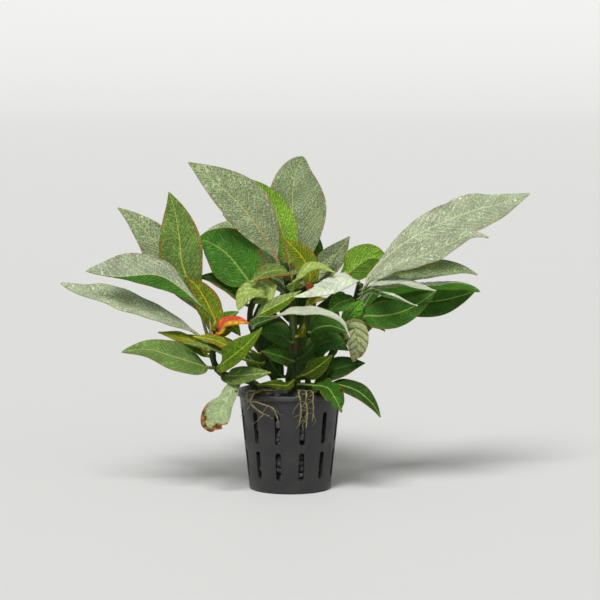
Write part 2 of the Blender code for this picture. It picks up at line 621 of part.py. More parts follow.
def make_pot(group, helpers):
    wall_at_rim = POT_TOP_RADIUS - POT_WALL
    profile = [
        (wall_at_rim, POT_HEIGHT),
        (POT_RIM_RADIUS - 0.6, POT_HEIGHT),
        (POT_RIM_RADIUS, POT_HEIGHT - 0.6),
        (POT_RIM_RADIUS, POT_HEIGHT - POT_RIM_DEPTH),
        (POT_TOP_RADIUS, POT_HEIGHT - POT_RIM_DEPTH),
        (POT_BASE_RADIUS + 0.4, 1.0),
        (POT_BASE_RADIUS - 0.6, 0.0),
        (0.0, 0.0),
        (0.0, POT_FLOOR),
        (POT_BASE_RADIUS - POT_WALL, POT_FLOOR),
        (wall_at_rim, POT_HEIGHT),
    ]
    pot = turned("pot", profile, POT_STEPS, "pot", group)
    reach = POT_RIM_RADIUS - POT_BASE_RADIUS + 6
    for row, (low, high) in enumerate(SLOT_ROWS):
        for i in range(POT_SLOTS):
            angle = 2 * math.pi * (i + 0.5) / POT_SLOTS
            place = (POT_BASE_RADIUS + 2, 0, (low + high) / 2)
            size = (reach, SLOT_WIDTH, high - low)
            cut(pot, box_cutter(f"wall_slot_{row}_{i}", size, place, angle, helpers))
    inner, outer = FLOOR_SLOT_SPAN
    for i in range(FLOOR_SLOTS):
        angle = 2 * math.pi * i / FLOOR_SLOTS
        place = ((inner + outer) / 2, 0, POT_FLOOR / 2)
        size = (outer - inner, SLOT_WIDTH, POT_FLOOR * 3)
        cut(pot, box_cutter(f"floor_slot_{i}", size, place, angle, helpers))


def make_gravel(group, helpers):
    """The gravel's body, with a socket around each stem. Its single stones are loose grains."""
    lower = POT_BASE_RADIUS - POT_WALL - GAP * 1.5
    slope = (POT_TOP_RADIUS - POT_BASE_RADIUS) / POT_HEIGHT
    upper = POT_TOP_RADIUS - POT_WALL - GAP * 1.5 - slope * (POT_HEIGHT - GRAVEL_TOP)
    profile = [
        (0.0, GRAVEL_TOP + GRAVEL_HEAP),
        (upper * 0.45, GRAVEL_TOP + GRAVEL_HEAP * 0.8),
        (upper * 0.85, GRAVEL_TOP + GRAVEL_HEAP * 0.3),
        (upper, GRAVEL_TOP - 0.8),
        (lower, POT_FLOOR + GAP),
        (0.0, POT_FLOOR + GAP),
    ]
    gravel = turned("gravel", profile, GRAVEL_STEPS, "gravel", group)
    for name, (radius, points) in STEMS.items():
        x, y, _ = points[0]
        shape = bmesh.new()
        around = radius + SOCKET_ROOM
        height = POT_HEIGHT + 10 - SOCKET_FLOOR
        bmesh.ops.create_cone(shape, cap_ends=True, segments=12, radius1=around * MM, radius2=around * MM,
                              depth=height * MM)
        mesh = bpy.data.meshes.new(name + "_socket")
        shape.to_mesh(mesh)
        shape.free()
        cutter = bpy.data.objects.new(name + "_socket", mesh)
        cutter.location = Vector((x, y, SOCKET_FLOOR + height / 2)) * MM
        helpers.objects.link(cutter)
        hide_helper(cutter)
        cut(gravel, cutter)


def main():
    for obj in list(bpy.data.objects):
        bpy.data.objects.remove(obj)
    group = bpy.data.collections.new("giant_hygrophila")
    helpers = bpy.data.collections.new("cutters")
    bpy.context.scene.collection.children.link(group)
    bpy.context.scene.collection.children.link(helpers)
    make_pot(group, helpers)
    make_gravel(group, helpers)
    for name in STEMS:
        make_stem(name, group, helpers)
    for name in ROOTS:
        make_roots(name, group, helpers)
    for name, leaf in LEAVES.items():
        make_leaf(name, leaf, group)


main()
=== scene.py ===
"""The looks of the potted giant hygrophila: fine leaves, stems, roots, stones and pot over its solids.

Sizes are in millimetres, as in the part's own source, and MM turns them into metres.
"""

import math
import random

import bmesh
import bpy
from mathutils import Matrix, Vector, noise


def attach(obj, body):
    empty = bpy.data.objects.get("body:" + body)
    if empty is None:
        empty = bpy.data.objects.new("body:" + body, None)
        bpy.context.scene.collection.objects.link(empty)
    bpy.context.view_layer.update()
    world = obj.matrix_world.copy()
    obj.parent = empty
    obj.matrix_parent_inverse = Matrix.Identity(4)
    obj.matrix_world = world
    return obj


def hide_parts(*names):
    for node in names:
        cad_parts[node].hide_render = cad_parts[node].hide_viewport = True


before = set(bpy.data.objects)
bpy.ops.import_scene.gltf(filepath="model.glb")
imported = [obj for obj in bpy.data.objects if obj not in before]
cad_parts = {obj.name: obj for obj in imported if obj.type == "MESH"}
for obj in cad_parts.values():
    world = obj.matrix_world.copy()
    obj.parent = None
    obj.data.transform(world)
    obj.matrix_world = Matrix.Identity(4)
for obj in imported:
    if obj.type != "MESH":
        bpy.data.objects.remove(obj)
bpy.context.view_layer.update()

MM = 0.001
TURN = 2 * math.pi
GOLDEN = 0.618  # spreads the leaves' seeds evenly

# A leaf where it leaves its stem, and at its tip
PETIOLE_HALF_WIDTH = 0.9
PETIOLE_THICKNESS = 1.5
KNEE = 2.2
TIP_HALF_WIDTH = 0.3
BLADE_THICKNESS = 0.3

# How finely a leaf is drawn: the distance between rows, and the columns on each side of its midrib
ROW_SPACING = 0.8
LEAST_ROWS = 30
LEAF_COLUMNS = 11

# The pot and its gravel, as in the solids
POT_HEIGHT = 50
POT_BASE_RADIUS = 20
POT_TOP_RADIUS = 25.5
POT_WALL = 1.2
POT_FLOOR = 1.8
POT_RIM_RADIUS = 27
POT_RIM_DEPTH = 2.6
POT_SLOTS = 12
SLOT_WIDTH = 2.8
SLOT_REACH = 13
SLOT_ROWS = ((7, 21), (25, 41))
FLOOR_SLOTS = 4
FLOOR_SLOT_SPAN = (9, 15.5)
GRAVEL_TOP = 47.6
GRAVEL_HEAP = 2

# The loose stones: the shapes there are, the flats on each, and the places tried for them
STONE_SHAPES = 7
STONE_CHIPS = 9
HEAP_TRIES = 5200
WALL_TRIES = 9000
SIDE_ROOTS = 7

# In metres: the floor is flat out to the first of these radii, and has risen by FLOOR_RISE at the last
FLOOR_RINGS = (5, 5.5, 6, 6.5, 7, 7.5, 8, 8.5, 9)
FLOOR_RISE = 1.8

# The camera looks at this place from this far, this many degrees above the level, and shows this width
CAMERA_AIM = (5, 0, 95)
CAMERA_DISTANCE = 1300
CAMERA_RISE = 6
CAMERA_WIDTH = 300

# Each stem: its radius, then the points that its middle passes through, from inside the gravel up
STEMS = {
    "centre": (2.1, [(3, 0, 40), (3, 0, 50), (3, 1, 64), (2, 3, 80), (0, 4, 97), (-3, 5, 113)]),
    "left": (1.7, [(-14, -6, 40), (-14, -6, 47), (-15.5, -6.5, 52), (-21, -8, 55.5), (-34, -11, 59.5),
                   (-38, -11, 66), (-38, -12, 75), (-36, -12, 82)]),
    "right": (1.8, [(13, -5, 40), (13, -5, 50), (18, -6, 63), (26, -8, 78), (31, -9, 90), (35, -6, 104)]),
    "inner_left": (1.7, [(-7, 7, 40), (-7, 7, 50), (-12, 3, 64), (-18, -2, 78), (-20, -3, 88),
                         (-17, -2, 98)]),
    "inner_right": (1.6, [(9, 9, 40), (9, 9, 50), (9, 6, 64), (9, 2, 78), (9, -1, 90), (11, -1, 101)]),
    "back": (1.7, [(-1, 14, 40), (-1, 14, 50), (1, 20, 66), (1, 23, 84), (2, 24, 102)]),
}


class Leaf:
    """One leaf. It leaves its stem at height rises_at and its midrib runs through the points to the tip.

    face is the way its upper side looks at the base, and face_tip the same at the tip.
    fold lifts both halves from the midrib into a V, or lets them hang if it is negative.
    cup curls both margins up, or down if it is negative. look is one of LOOKS.
    A pair for look, fold or cup sets its left and right half apart.
    belly is how far along the blade it is widest, and full makes its outline rounder when under 1.
    lean widens the half on its right, seen from the tip, and narrows the other by that share.
    wave is how far its margins swing, veins is the distance between its side veins, and quilt is how
    far the blade swells up between them, all in mm.
    bites are (place along, side, length, depth) of what is missing from its outline.
    shade lightens or darkens it, partly its own tone and partly painted light and painted shadow from the
    leaves over it, blush reddens its base, spots, burn and red are how worn it is.
    """

    def __init__(self, stem, rises_at, points, half_width, face, look, face_tip=None, fold=0.12,
                 cup=0, belly=0.45, full=1.05, petiole=0.12, lean=0, wave=0.5, veins=4.2, quilt=0.5,
                 bites=(), shade=1, blush=0, spots=0.02, burn=0, red=0.3):
        self.stem, self.rises_at, self.points = stem, rises_at, points
        self.half_width, self.face, self.face_tip = half_width, face, face_tip or face
        self.looks, self.fold, self.cup = pair(look), pair(fold), pair(cup)
        self.belly, self.full, self.petiole, self.lean = belly, full, petiole, lean
        self.wave, self.veins, self.quilt, self.bites = wave, veins, quilt, bites
        self.shade, self.blush = shade, blush
        self.spots, self.burn, self.red = spots, burn, red


def pair(value):
    """The values for a leaf's left and right half, which are the same where only one is given."""
    return value if isinstance(value, tuple) else (value, value)


LEAVES = {
    # The tall leaves at the top, on the central stem
    "top_left": Leaf("centre", 111, [(-9, -2, 121), (-16, -6, 132), (-25, -9, 143.5), (-37, -12, 154.5),
        (-50, -13, 164.5)],
        11.7, (0.1, -1, 0.3), "silver", belly=0.47, lean=0.16, veins=4, shade=1.1, blush=0.7, spots=0.04),
    "top_lime": Leaf("centre", 108, [(-2, 10.5, 117), (-3.5, 9, 126), (-7.5, 6, 139), (-13.5, 2, 149),
        (-21.5, -1, 156)],
        8.2, (-0.2, 1, 0.3), "lime", belly=0.38, veins=4.4, shade=1.25, blush=1),
    "top_round": Leaf("centre", 103, [(1, 16, 110), (1.7, 17, 121), (1.2, 18.5, 136.5), (1.4, 20, 149),
        (3.2, 21.5, 158.5), (6.6, 23, 165.6)],
        15.2, (0.2, -1, 0.25), "silver", fold=0.16, belly=0.56, full=0.72, lean=0.13, wave=0.3, veins=5,
        shade=1.1, spots=0.06),
    "olive_back": Leaf("inner_right", 99.5, [(10, -5, 108), (6, -5, 117), (-3, -6, 126.5)],
        6, (0, -1, 0.1), "young", shade=1.15, blush=0.4, red=0.6),
    "behind_round": Leaf("back", 100.5, [(8, 27, 107), (11, 26, 114), (12, 25, 122), (11.5, 24, 129.5)],
        6, (0, -1, 0.2), "green", shade=1.15),
    # The fan of leaves on the left stem
    "left_upright": Leaf("left", 80.5, [(-44, -9, 93), (-50.5, -12, 106.5), (-53.5, -13, 115.5),
        (-54.5, -14, 126.5), (-56.5, -15, 140), (-59.5, -15, 150)],
        11, (0.15, -1, 0.3), "olive", belly=0.5, petiole=0.2, spots=0.03, red=0.5),
    "left_back": Leaf("left", 76.5, [(-45, -5, 90), (-53.5, -2, 102), (-61.5, 1, 114), (-68, 2, 124.5),
        (-77.5, 3, 134.5), (-86, 3, 141)],
        9.5, (0, -0.8, 0.6), "silver", belly=0.5, petiole=0.2, shade=1.1),
    "left_fold": Leaf("left", 78, [(-39.5, -20.5, 89), (-44.5, -24.5, 95), (-49.3, -27.5, 100.4),
        (-56, -30, 106), (-62, -32, 109.8), (-68, -33.5, 111), (-76, -35.5, 110.6), (-84, -36.5, 110.2),
        (-91, -37, 111), (-98.8, -37, 113)],
        11.5, (0, -0.25, 1), ("green", "frost"), face_tip=(0, -1, 0.25), fold=(-1.1, -0.1), belly=0.6,
        full=0.85, petiole=0.24, lean=0.12, wave=0.7, spots=0.08, bites=((0.9, -1, 0.25, 1),
        (0.34, 1, 0.13, 0.6))),
    "left_long": Leaf("left", 74.5, [(-47, -16, 80.5), (-54, -18.5, 85), (-58, -19.5, 86.8),
        (-71.5, -22, 93), (-82.5, -24, 97.3), (-93.5, -25.5, 101), (-101.5, -26, 102.4),
        (-112, -27, 106.2)],
        7.5, (0, -0.6, 0.85), "frost", belly=0.52, full=0.8, petiole=0.16, shade=1.3, spots=0.06),
    "left_lower": Leaf("left", 63, [(-46, -21, 65.5), (-57, -28, 70), (-70, -31, 74), (-82, -34, 73)],
        8.5, (0, -0.75, 0.65), "sage", belly=0.36, full=0.9, spots=0.04),
    "young_red": Leaf("left", 81.3, [(-37, -15.2, 86.5), (-39, -15.7, 91), (-42.3, -16.8, 98),
        (-46.5, -17.6, 104.3), (-51, -18, 108)],
        6.6, (0.25, -1, 0.2), "young", petiole=0.04, blush=0.3, burn=0.5, red=1),
    "yellow_left": Leaf("inner_left", 69, [(-20, -9, 71), (-29, -14.5, 73), (-38, -19, 77.3),
        (-47.5, -21, 79)],
        4.2, (0, -0.7, 0.7), "yellow", petiole=0.3, red=1),
    "pale_slim": Leaf("inner_left", 64, [(-24, -12, 67), (-32, -17, 70.5), (-43, -22, 74.5),
        (-52.5, -25, 76.5)],
        4, (0, -0.4, 0.9), "olive", petiole=0.45, shade=1.2),
    "broad_left": Leaf("left", 62, [(-32.5, -24.5, 66.5), (-26, -29, 72), (-19.5, -31, 78),
        (-13.5, -29, 84.5)],
        7, (-0.45, -0.7, 0.5), "moss", fold=0.25, veins=3.8),
    "low_left": Leaf("left", 58.5, [(-31, -21, 59.5), (-24.5, -26, 60.3), (-17, -29, 61.5),
        (-9.2, -31, 62.5)],
        5, (0, -0.8, 0.5), "sage", shade=0.85),
    "damaged": Leaf("left", 55.5, [(-24, -18, 57.5), (-27.5, -25, 55), (-31.5, -27.5, 47.5),
        (-36.5, -28.5, 40), (-39.5, -30, 33)],
        7.2, (-0.2, -1, 0.25), "mottled", belly=0.72, full=0.4, petiole=0.28, wave=0.7, quilt=0.25,
        spots=0.35, burn=1, bites=((0.6, -1, 0.12, 0.35), (0.6, 1, 0.1, 0.25), (0.97, -1, 0.03, 0.6),
        (0.88, -1, 0.025, 0.3))),
    # The middle of the plant
    "green_disc": Leaf("inner_left", 97, [(-20, -4, 103.5), (-24, -3, 109.5), (-31.5, -2, 118.5),
        (-40, -1, 124), (-46, 0, 125.5)],
        13.3, (0.05, -1, 0.1), "green", full=0.85, lean=0.09, veins=4.6),
    "back_pale": Leaf("back", 98, [(-10, 18, 112), (-22, 12, 124.5), (-33, 9, 128), (-46.5, 7, 125)],
        10, (0, -0.8, 0.6), "silver", shade=2.4, spots=0.1),
    "under_disc": Leaf("inner_left", 92, [(-29, 0, 101), (-38, 1, 106), (-46, 2, 106)],
        5, (0, -0.7, 0.7), "deep", red=0.8),
    "arch_red": Leaf("centre", 105, [(-1.5, -5, 110), (-9, -10, 110.5), (-15.5, -13, 108),
        (-19.5, -15, 104.5)],
        5.2, (0, -0.6, 0.8), "olive", face_tip=(-0.6, -0.6, 0.3), blush=1, red=1),
    "round_pale": Leaf("inner_left", 94.5, [(-12, -8.5, 98.8), (-15.5, -12.5, 101), (-21.5, -17, 99.5),
        (-25.5, -19, 92)],
        8, (-0.2, -0.8, 0.6), "lime", face_tip=(-0.8, -0.6, 0.2), belly=0.42, full=0.75, petiole=0.14,
        red=0.5),
    "diagonal": Leaf("inner_left", 85, [(-16, -14, 88.5), (-9, -19, 93), (-2, -22, 97), (5.5, -24, 102)],
        4.8, (-0.3, -0.8, 0.6), ("lime", "moss"), petiole=0.15, shade=0.9),
    "long_arch": Leaf("inner_left", 81.5, [(-17, -17, 85), (-9, -26.5, 89), (4, -32, 92.5),
        (16, -35, 92.5), (25, -36, 88.5), (29, -36, 80.5)],
        7.5, (0, -0.15, 1), "white", face_tip=(0.8, -0.3, 0.5), petiole=0.08, quilt=0.2, red=0.6),
    "under_arch": Leaf("inner_right", 79, [(13, -15, 82.5), (20, -22, 84.5), (29, -25, 81.5)],
        6.5, (0, -0.95, 0.3), "green", shade=0.6),
    "dark_inner": Leaf("inner_right", 66, [(13, -6, 71.8), (20, -12, 75.5), (29, -15.5, 71.5)],
        7, (0, -0.9, 0.4), "deep", shade=1.9),
    "inner_left": Leaf("centre", 73, [(-5, -8, 78.5), (-15, -12, 80)],
        6.6, (0, -0.9, 0.5), "deep", shade=1.5),
    "right_arch": Leaf("centre", 98, [(2, -10, 104.5), (5, -15, 109.5), (10, -17.5, 113),
        (15, -18.5, 113.5), (22, -19, 110.5)],
        5, (0, -0.55, 0.85), "lime", shade=1.2),
    # The lower right
    "low_right_light": Leaf("centre", 56, [(9, -13, 60), (14.5, -19, 64.3), (21, -22, 70)],
        5, (0, -1, 0.25), "moss", petiole=0.3, shade=0.6),
    "low_right_dark": Leaf("right", 56, [(20, -13, 60.5), (29, -16, 64), (37, -18, 65.5)],
        6.5, (0, -0.75, 0.7), "deep", shade=0.8),
    "low_right_hang": Leaf("right", 53.5, [(22, -17, 55), (33, -24, 52.5), (40.5, -27, 46.5),
        (44.5, -28, 40)],
        5.3, (0.35, -0.7, 0.55), "green", shade=0.4),
    "torn": Leaf("centre", 52, [(9, -11, 53.5), (18, -22, 54), (22, -30, 50), (25.5, -32.5, 43)],
        6, (0.2, -0.9, 0.4), "vivid", full=0.7, petiole=0.35, wave=1.1, shade=0.5,
        bites=((0.97, 0, 0.03, 0.7), (0.86, 1, 0.02, 0.5), (0.76, -1, 0.025, 0.45), (0.66, 1, 0.02, 0.3),
        (0.58, -1, 0.02, 0.3))),
    "old_spotted": Leaf("right", 80, [(31.5, -17, 82.5), (33, -21, 78), (33, -23, 73), (31, -24, 67)],
        6, (0.1, -1, 0.1), "spotted", full=0.75, petiole=0.1, spots=0.55, burn=0.5,
        bites=((0.6, 1, 0.04, 0.25), (0.93, -1, 0.03, 0.4))),
    # The right stem's sweep of leaves
    "right_big": Leaf("right", 102, [(39, -4, 107), (52, -2, 120), (70, 0, 131), (93, 3, 140),
        (104, 5, 142.5), (120, 6, 148)],
        12.6, (-0.3, -0.75, 0.65), "frost", belly=0.55, petiole=0.14, lean=0.15, wave=0.6, shade=1.1,
        spots=0.08, bites=((0.6, -1, 0.035, 0.12),)),
    "right_under": Leaf("right", 100.5, [(41, -14, 108), (51, -19, 113.8), (66, -24, 119.6),
        (78.5, -27, 125.3), (88, -28, 130), (97, -28, 128.6)],
        10, (-0.15, -0.5, 0.85), "frost", petiole=0.1, wave=0.7, shade=1.1),
    "right_grey": Leaf("right", 95.5, [(45, 1, 104), (60, 4, 108.5), (76, 5, 110.5), (86, 5, 110),
        (94, 4, 107.3)],
        8, (0, -0.6, 0.8), "silver", shade=1.5),
    "right_curl": Leaf("right", 92, [(42, -11, 101), (52, -12, 103), (66, -13, 104.6), (78, -13, 105.2),
        (87, -13, 104.3), (94, -13, 100.5)],
        6, (0, 0.65, 0.8), ("vivid", "white"), fold=0.05, cup=(0.05, -1.1), belly=0.55, full=0.6,
        petiole=0.04, lean=-0.4, quilt=0.3, shade=1.25),
    "right_cream": Leaf("right", 98.3, [(42, -20, 105.2), (54, -26, 106.6), (62.5, -29, 104.8),
        (71.5, -30, 102.6)],
        5.5, (0, -0.3, 1), "white", quilt=0.2, shade=0.95),
    "right_roll": Leaf("right", 96, [(39, -18, 100.8), (46.5, -30, 100.2), (53.7, -34, 98.6),
        (62, -37, 96)],
        3.5, (0, 0.1, 1), "white", fold=0.6, quilt=0.2),
    "right_far_low": Leaf("right", 87.5, [(45, -2, 94.3), (60, 0, 93.5), (75, 0, 94.7), (84.5, -1, 97),
        (92.5, -2, 99.8)],
        8, (0, -0.95, 0.3), "green", belly=0.6, shade=0.55),
    "right_near_low": Leaf("right", 85.5, [(37, -14, 88.5), (44.5, -18, 89), (54, -21, 91),
        (63, -22, 95.4), (72, -22, 102)],
        7.2, (0.2, -0.95, 0.3), "green", belly=0.4, shade=0.78),
    "right_blade": Leaf("right", 103.3, [(30, -15, 107.5), (22, -20, 104.5), (12, -25, 101),
        (2, -28, 99.5)],
        5.5, (0, -0.6, 0.8), "white", belly=0.4, petiole=0.04, quilt=0.15, shade=1.05),
    "back_lime": Leaf("inner_right", 99.5, [(21, 4, 105.5), (29, 6, 108), (35, 7, 112.5), (41, 7, 115.5),
        (49, 5, 114)],
        9.5, (-0.3, 0.9, 0.4), "lime", full=0.75, petiole=0.4, veins=4.6, shade=1.15, blush=0.8),
    "back_point": Leaf("back", 99, [(13, 21, 106), (21.5, 20, 114), (30, 19, 125.3)],
        7, (0, -0.9, 0.4), "silver", petiole=0.15, shade=0.85),
    # The far side, which the front view hides
    "rear_left": Leaf("back", 93, [(-12, 38, 104), (-25, 54, 108), (-36, 70, 101)],
        11, (-0.3, 0.2, 1), "silver", shade=0.95),
    "rear_right": Leaf("back", 63, [(10, 29, 68), (17, 33, 80), (22, 34, 95)],
        10.5, (0, -1, 0.35), "deep", shade=0.7),
    "rear_low": Leaf("back", 60, [(-6, 29, 66), (-12, 33, 78), (-15, 34, 92)],
        10.5, (0, -1, 0.35), "deep", shade=0.7),
    "rear_high_left": Leaf("back", 101, [(-11, 33, 113), (-23, 45, 127), (-35, 55, 134)],
        10, (0.2, -0.5, 0.8), "silver"),
    "rear_upright": Leaf("back", 95.5, [(4, 34, 112), (1, 41, 129), (-1, 45, 146)],
        9.5, (0, -0.9, 0.5), "olive"),
    "rear_mid_left": Leaf("back", 76, [(2.5, 34, 79), (3, 41.5, 85), (4, 45, 95), (3, 47, 107)],
        10, (0, -1, 0.35), "deep", petiole=0.24, shade=0.7),
    "rear_mid_right": Leaf("right", 70, [(27, 6, 74), (39, 20, 80), (52, 33, 79)],
        9, (0.2, 0.2, 1), "green"),
}

# Shoot tips and leaflets too small to be pieces of their own, which grow fused to their stem
LEAFLETS = [
    Leaf("left", 68, [(-46, -8, 73), (-58, -9, 77)], 4.5, (0, -0.8, 0.4), "moss"),
    Leaf("left", 70.5, [(-46, -15, 75), (-55, -18, 78.5), (-65, -19, 81)], 3.8, (0, -0.5, 0.85), "yellow",
        red=1),
    Leaf("left", 80, [(-32, -18, 85.5), (-25.5, -22, 87), (-20, -25, 86)], 3.5, (0, -0.7, 0.7),
        ("red", "orange"), shade=1.2, red=1),
    Leaf("left", 80, [(-33, -12, 85.5), (-25.5, -12.5, 90.5)], 3.6, (0, -0.9, 0.3), "vivid"),
    Leaf("left", 80.5, [(-30, -13.5, 84.5), (-24.5, -16.5, 79)], 3.8, (0, -0.9, 0.4), "moss", red=0.8),
    Leaf("right", 84, [(29, -14, 87.5), (36.5, -17.5, 97)], 4.8, (0.3, -0.9, 0.1), "vivid", shade=1.3),
    Leaf("right", 80, [(39, -14, 84), (47, -18, 81.5)], 2.2, (0, -0.5, 0.9), "young"),
    Leaf("right", 95, [(29, -14, 96.5), (24, -17, 95), (19, -19, 91)], 5.5, (0, -0.9, 0.4), "green",
        shade=0.9),
    Leaf("right", 98.8, [(42, -6.8, 103.4), (54, -8.5, 108)], 2.6, (0, -0.6, 0.8), "white"),
    Leaf("inner_right", 97, [(11, -13, 100.5), (8.5, -18.5, 105.5)], 3.2, (0, -0.9, 0.4), "red", blush=1,
        red=1),
    Leaf("inner_right", 96, [(14, -7, 102), (21, -8, 105.5), (30, -6, 109)], 1.7, (0, -0.7, 0.7), "red",
        blush=1, red=1),
    Leaf("inner_right", 90, [(11, -8, 95), (18, -12, 97)], 2.4, (0, -0.7, 0.7), "yellow"),
    Leaf("centre", 64, [(-4, -9, 67.6), (-14, -14, 71)], 4, (0, -1, 0.3), "green", shade=0.7),
    Leaf("centre", 54, [(-2, -16, 54), (-9, -23, 55.5), (-16, -27, 56)], 3, (0, -0.8, 0.6), "moss",
        shade=0.6),
    Leaf("centre", 76, [(6, -5, 79), (7, -8, 84)], 2, (0, -0.9, 0.3), "young"),
    Leaf("centre", 65, [(8, -9, 69), (12.5, -13.5, 75)], 4, (0, -1, 0.3), "deep"),
    Leaf("inner_left", 68, [(-8, 5, 72), (-4, 7.5, 80)], 5, (0, -1, 0.3), "deep"),
    Leaf("inner_left", 58, [(-16, 6, 61), (-23, 8, 68)], 4.5, (0, -1, 0.3), "green", shade=0.6),
    Leaf("back", 101, [(13, 16, 106), (22.5, 13, 117)], 3.2, (0, -1, 0.2), "silver", shade=1.2),
    Leaf("back", 54, [(-8, 20, 58), (-13, 22, 68)], 5.5, (0, -1, 0.3), "deep", shade=0.8),
    Leaf("back", 54, [(8, 20, 58), (14, 22, 68)], 5.5, (0, -1, 0.3), "deep", shade=0.8),
]

# Root strands, each from the crown under the stems, over the rim and down outside the pot
ROOTS = {
    "roots_front": ((4, -12, 50.8), [
        [(4.5, -20, 51.8), (4.5, -27, 52.2), (5, -29.2, 49), (5.5, -29.6, 43), (4.5, -29.4, 36)],
        [(7, -20, 51.8), (8, -26, 52.2), (8, -28.8, 49), (8.5, -29, 42), (8, -28.8, 35)],
        [(10, -19, 51.6), (11.5, -24.8, 51.8), (11.2, -27.8, 49), (11.6, -28, 44), (11, -27.8, 38)],
    ]),
    "roots_left": ((-8, -13, 50.8), [
        [(-16, -19, 52), (-21, -21, 51.8), (-21, -20.8, 48), (-15, -25, 46.5), (-8.5, -28, 44.5),
         (-6.5, -28.8, 41), (-5.5, -29, 37)],
        [(-14, -20.5, 52.2), (-18, -24, 51), (-19, -22.8, 46), (-14, -26, 42), (-10, -27.6, 40.5)],
    ]),
}

# Each look: its slot, linear colours of the upper side, its net of veins and the midrib, then of the
# under side and its net, and how light the painted shade leaves the blade in the furrow close to a side
# vein
LOOKS = {
    # silver: the upper side's grey-green and its pale net are painted sheen from the light above, over a
    # green leaf with pale veins
    "silver": ("silver", (0.15, 0.22, 0.085), (0.66, 0.73, 0.47), (0.68, 0.68, 0.26),
        (0.085, 0.225, 0.025), (0.34, 0.5, 0.13), 0.78),
    # A brighter painted sheen from the light above on the upper side, with the leaf's green under side
    "frost": ("pale", (0.27, 0.34, 0.18), (0.86, 0.9, 0.7), (0.8, 0.8, 0.5),
        (0.08, 0.22, 0.022), (0.32, 0.48, 0.11), 0.78),
    # white: the near white upper side is painted sheen where it faces the light, the under side is the
    # leaf's green
    "white": ("pale", (0.72, 0.79, 0.59), (0.88, 0.91, 0.77), (0.9, 0.9, 0.72),
        (0.055, 0.24, 0.014), (0.2, 0.44, 0.06), 1),
    "olive": ("silver", (0.082, 0.19, 0.028), (0.34, 0.49, 0.13), (0.66, 0.64, 0.14),
        (0.1, 0.24, 0.02), (0.38, 0.52, 0.12), 0.78),
    "green": ("green", (0.034, 0.165, 0.012), (0.14, 0.35, 0.045), (0.4, 0.52, 0.11),
        (0.08, 0.22, 0.02), (0.3, 0.46, 0.09), 0.78),
    "sage": ("green", (0.11, 0.215, 0.042), (0.34, 0.49, 0.14), (0.52, 0.58, 0.18),
        (0.08, 0.22, 0.02), (0.3, 0.46, 0.09), 0.78),
    # deep: the dark green of leaves inside the plant is painted shade over their green
    "deep": ("deep", (0.024, 0.08, 0.014), (0.066, 0.17, 0.03), (0.18, 0.3, 0.06),
        (0.05, 0.13, 0.016), (0.14, 0.26, 0.04), 0.78),
    "lime": ("lime", (0.29, 0.44, 0.08), (0.66, 0.78, 0.28), (0.78, 0.82, 0.26),
        (0.13, 0.38, 0.008), (0.76, 0.9, 0.2), 0.78),
    "young": ("young", (0.078, 0.165, 0.008), (0.36, 0.44, 0.03), (0.8, 0.62, 0.03),
        (0.11, 0.17, 0.014), (0.36, 0.4, 0.04), 0.78),
    "orange": ("young", (0.76, 0.36, 0.015), (0.9, 0.62, 0.05), (0.85, 0.45, 0.06),
        (0.6, 0.25, 0.02), (0.8, 0.45, 0.05), 0.78),
    "moss": ("green", (0.036, 0.125, 0.004), (0.25, 0.41, 0.014), (0.5, 0.56, 0.06),
        (0.05, 0.15, 0.01), (0.2, 0.34, 0.04), 0.78),
    "vivid": ("green", (0.04, 0.21, 0.008), (0.16, 0.43, 0.035), (0.4, 0.58, 0.13),
        (0.075, 0.33, 0.012), (0.2, 0.48, 0.05), 0.78),
    "yellow": ("young", (0.18, 0.27, 0.012), (0.52, 0.56, 0.05), (0.84, 0.74, 0.08),
        (0.16, 0.23, 0.012), (0.46, 0.48, 0.04), 0.78),
    "red": ("young", (0.68, 0.045, 0.03), (0.82, 0.2, 0.08), (0.82, 0.2, 0.08),
        (0.62, 0.045, 0.03), (0.78, 0.18, 0.08), 0.78),
    "mottled": ("pale", (0.35, 0.45, 0.21), (0.5, 0.59, 0.33), (0.56, 0.66, 0.36),
        (0.28, 0.37, 0.17), (0.44, 0.52, 0.28), 0.96),
    "spotted": ("pale", (0.44, 0.47, 0.23), (0.15, 0.19, 0.06), (0.26, 0.3, 0.12),
        (0.26, 0.3, 0.13), (0.13, 0.18, 0.06), 0.78),
}


def smooth_curve(points, t):
    """The point at t, from 0 to 1 by length, on the smooth curve that passes through the points."""
    gaps = [(b - a).length for a, b in zip(points, points[1:])]
    slopes = [(points[i + 1] - points[i - 1]) / (gaps[i - 1] + gaps[i]) for i in range(1, len(gaps))]
    first = (points[1] - points[0]) / gaps[0]
    last = (points[-1] - points[-2]) / gaps[-1]
    slopes = [first] + slopes + [last * 1.5 - slopes[-1] * 0.5]
    place = min(max(t, 0.0), 1.0) * sum(gaps)
    i = 0
    while place > gaps[i] and i < len(gaps) - 1:
        place -= gaps[i]
        i += 1
    u = place / gaps[i]
    return (
        points[i] * (2 * u ** 3 - 3 * u ** 2 + 1)
        + slopes[i] * (gaps[i] * (u ** 3 - 2 * u ** 2 + u))
        + points[i + 1] * (3 * u ** 2 - 2 * u ** 3)
        + slopes[i + 1] * (gaps[i] * (u ** 3 - u ** 2))
    )


def heading(points, t, step=0.01):
    """The way that the smooth curve through the points runs at t."""
    ahead = smooth_curve(points, min(t + step, 1)) - smooth_curve(points, max(t - step, 0))
    return ahead.normalized()


def stem_place(stem, height):
    """The middle of the stem at that height above the pot's base, and the way that it runs there."""
    points = [Vector(p) for p in STEMS[stem][1]]
    low, high = 0.0, 1.0
    for _ in range(24):
        middle = (low + high) / 2
        if smooth_curve(points, middle).z < height:
            low = middle
        else:
            high = middle
    return smooth_curve(points, low), heading(points, low, 0.02)


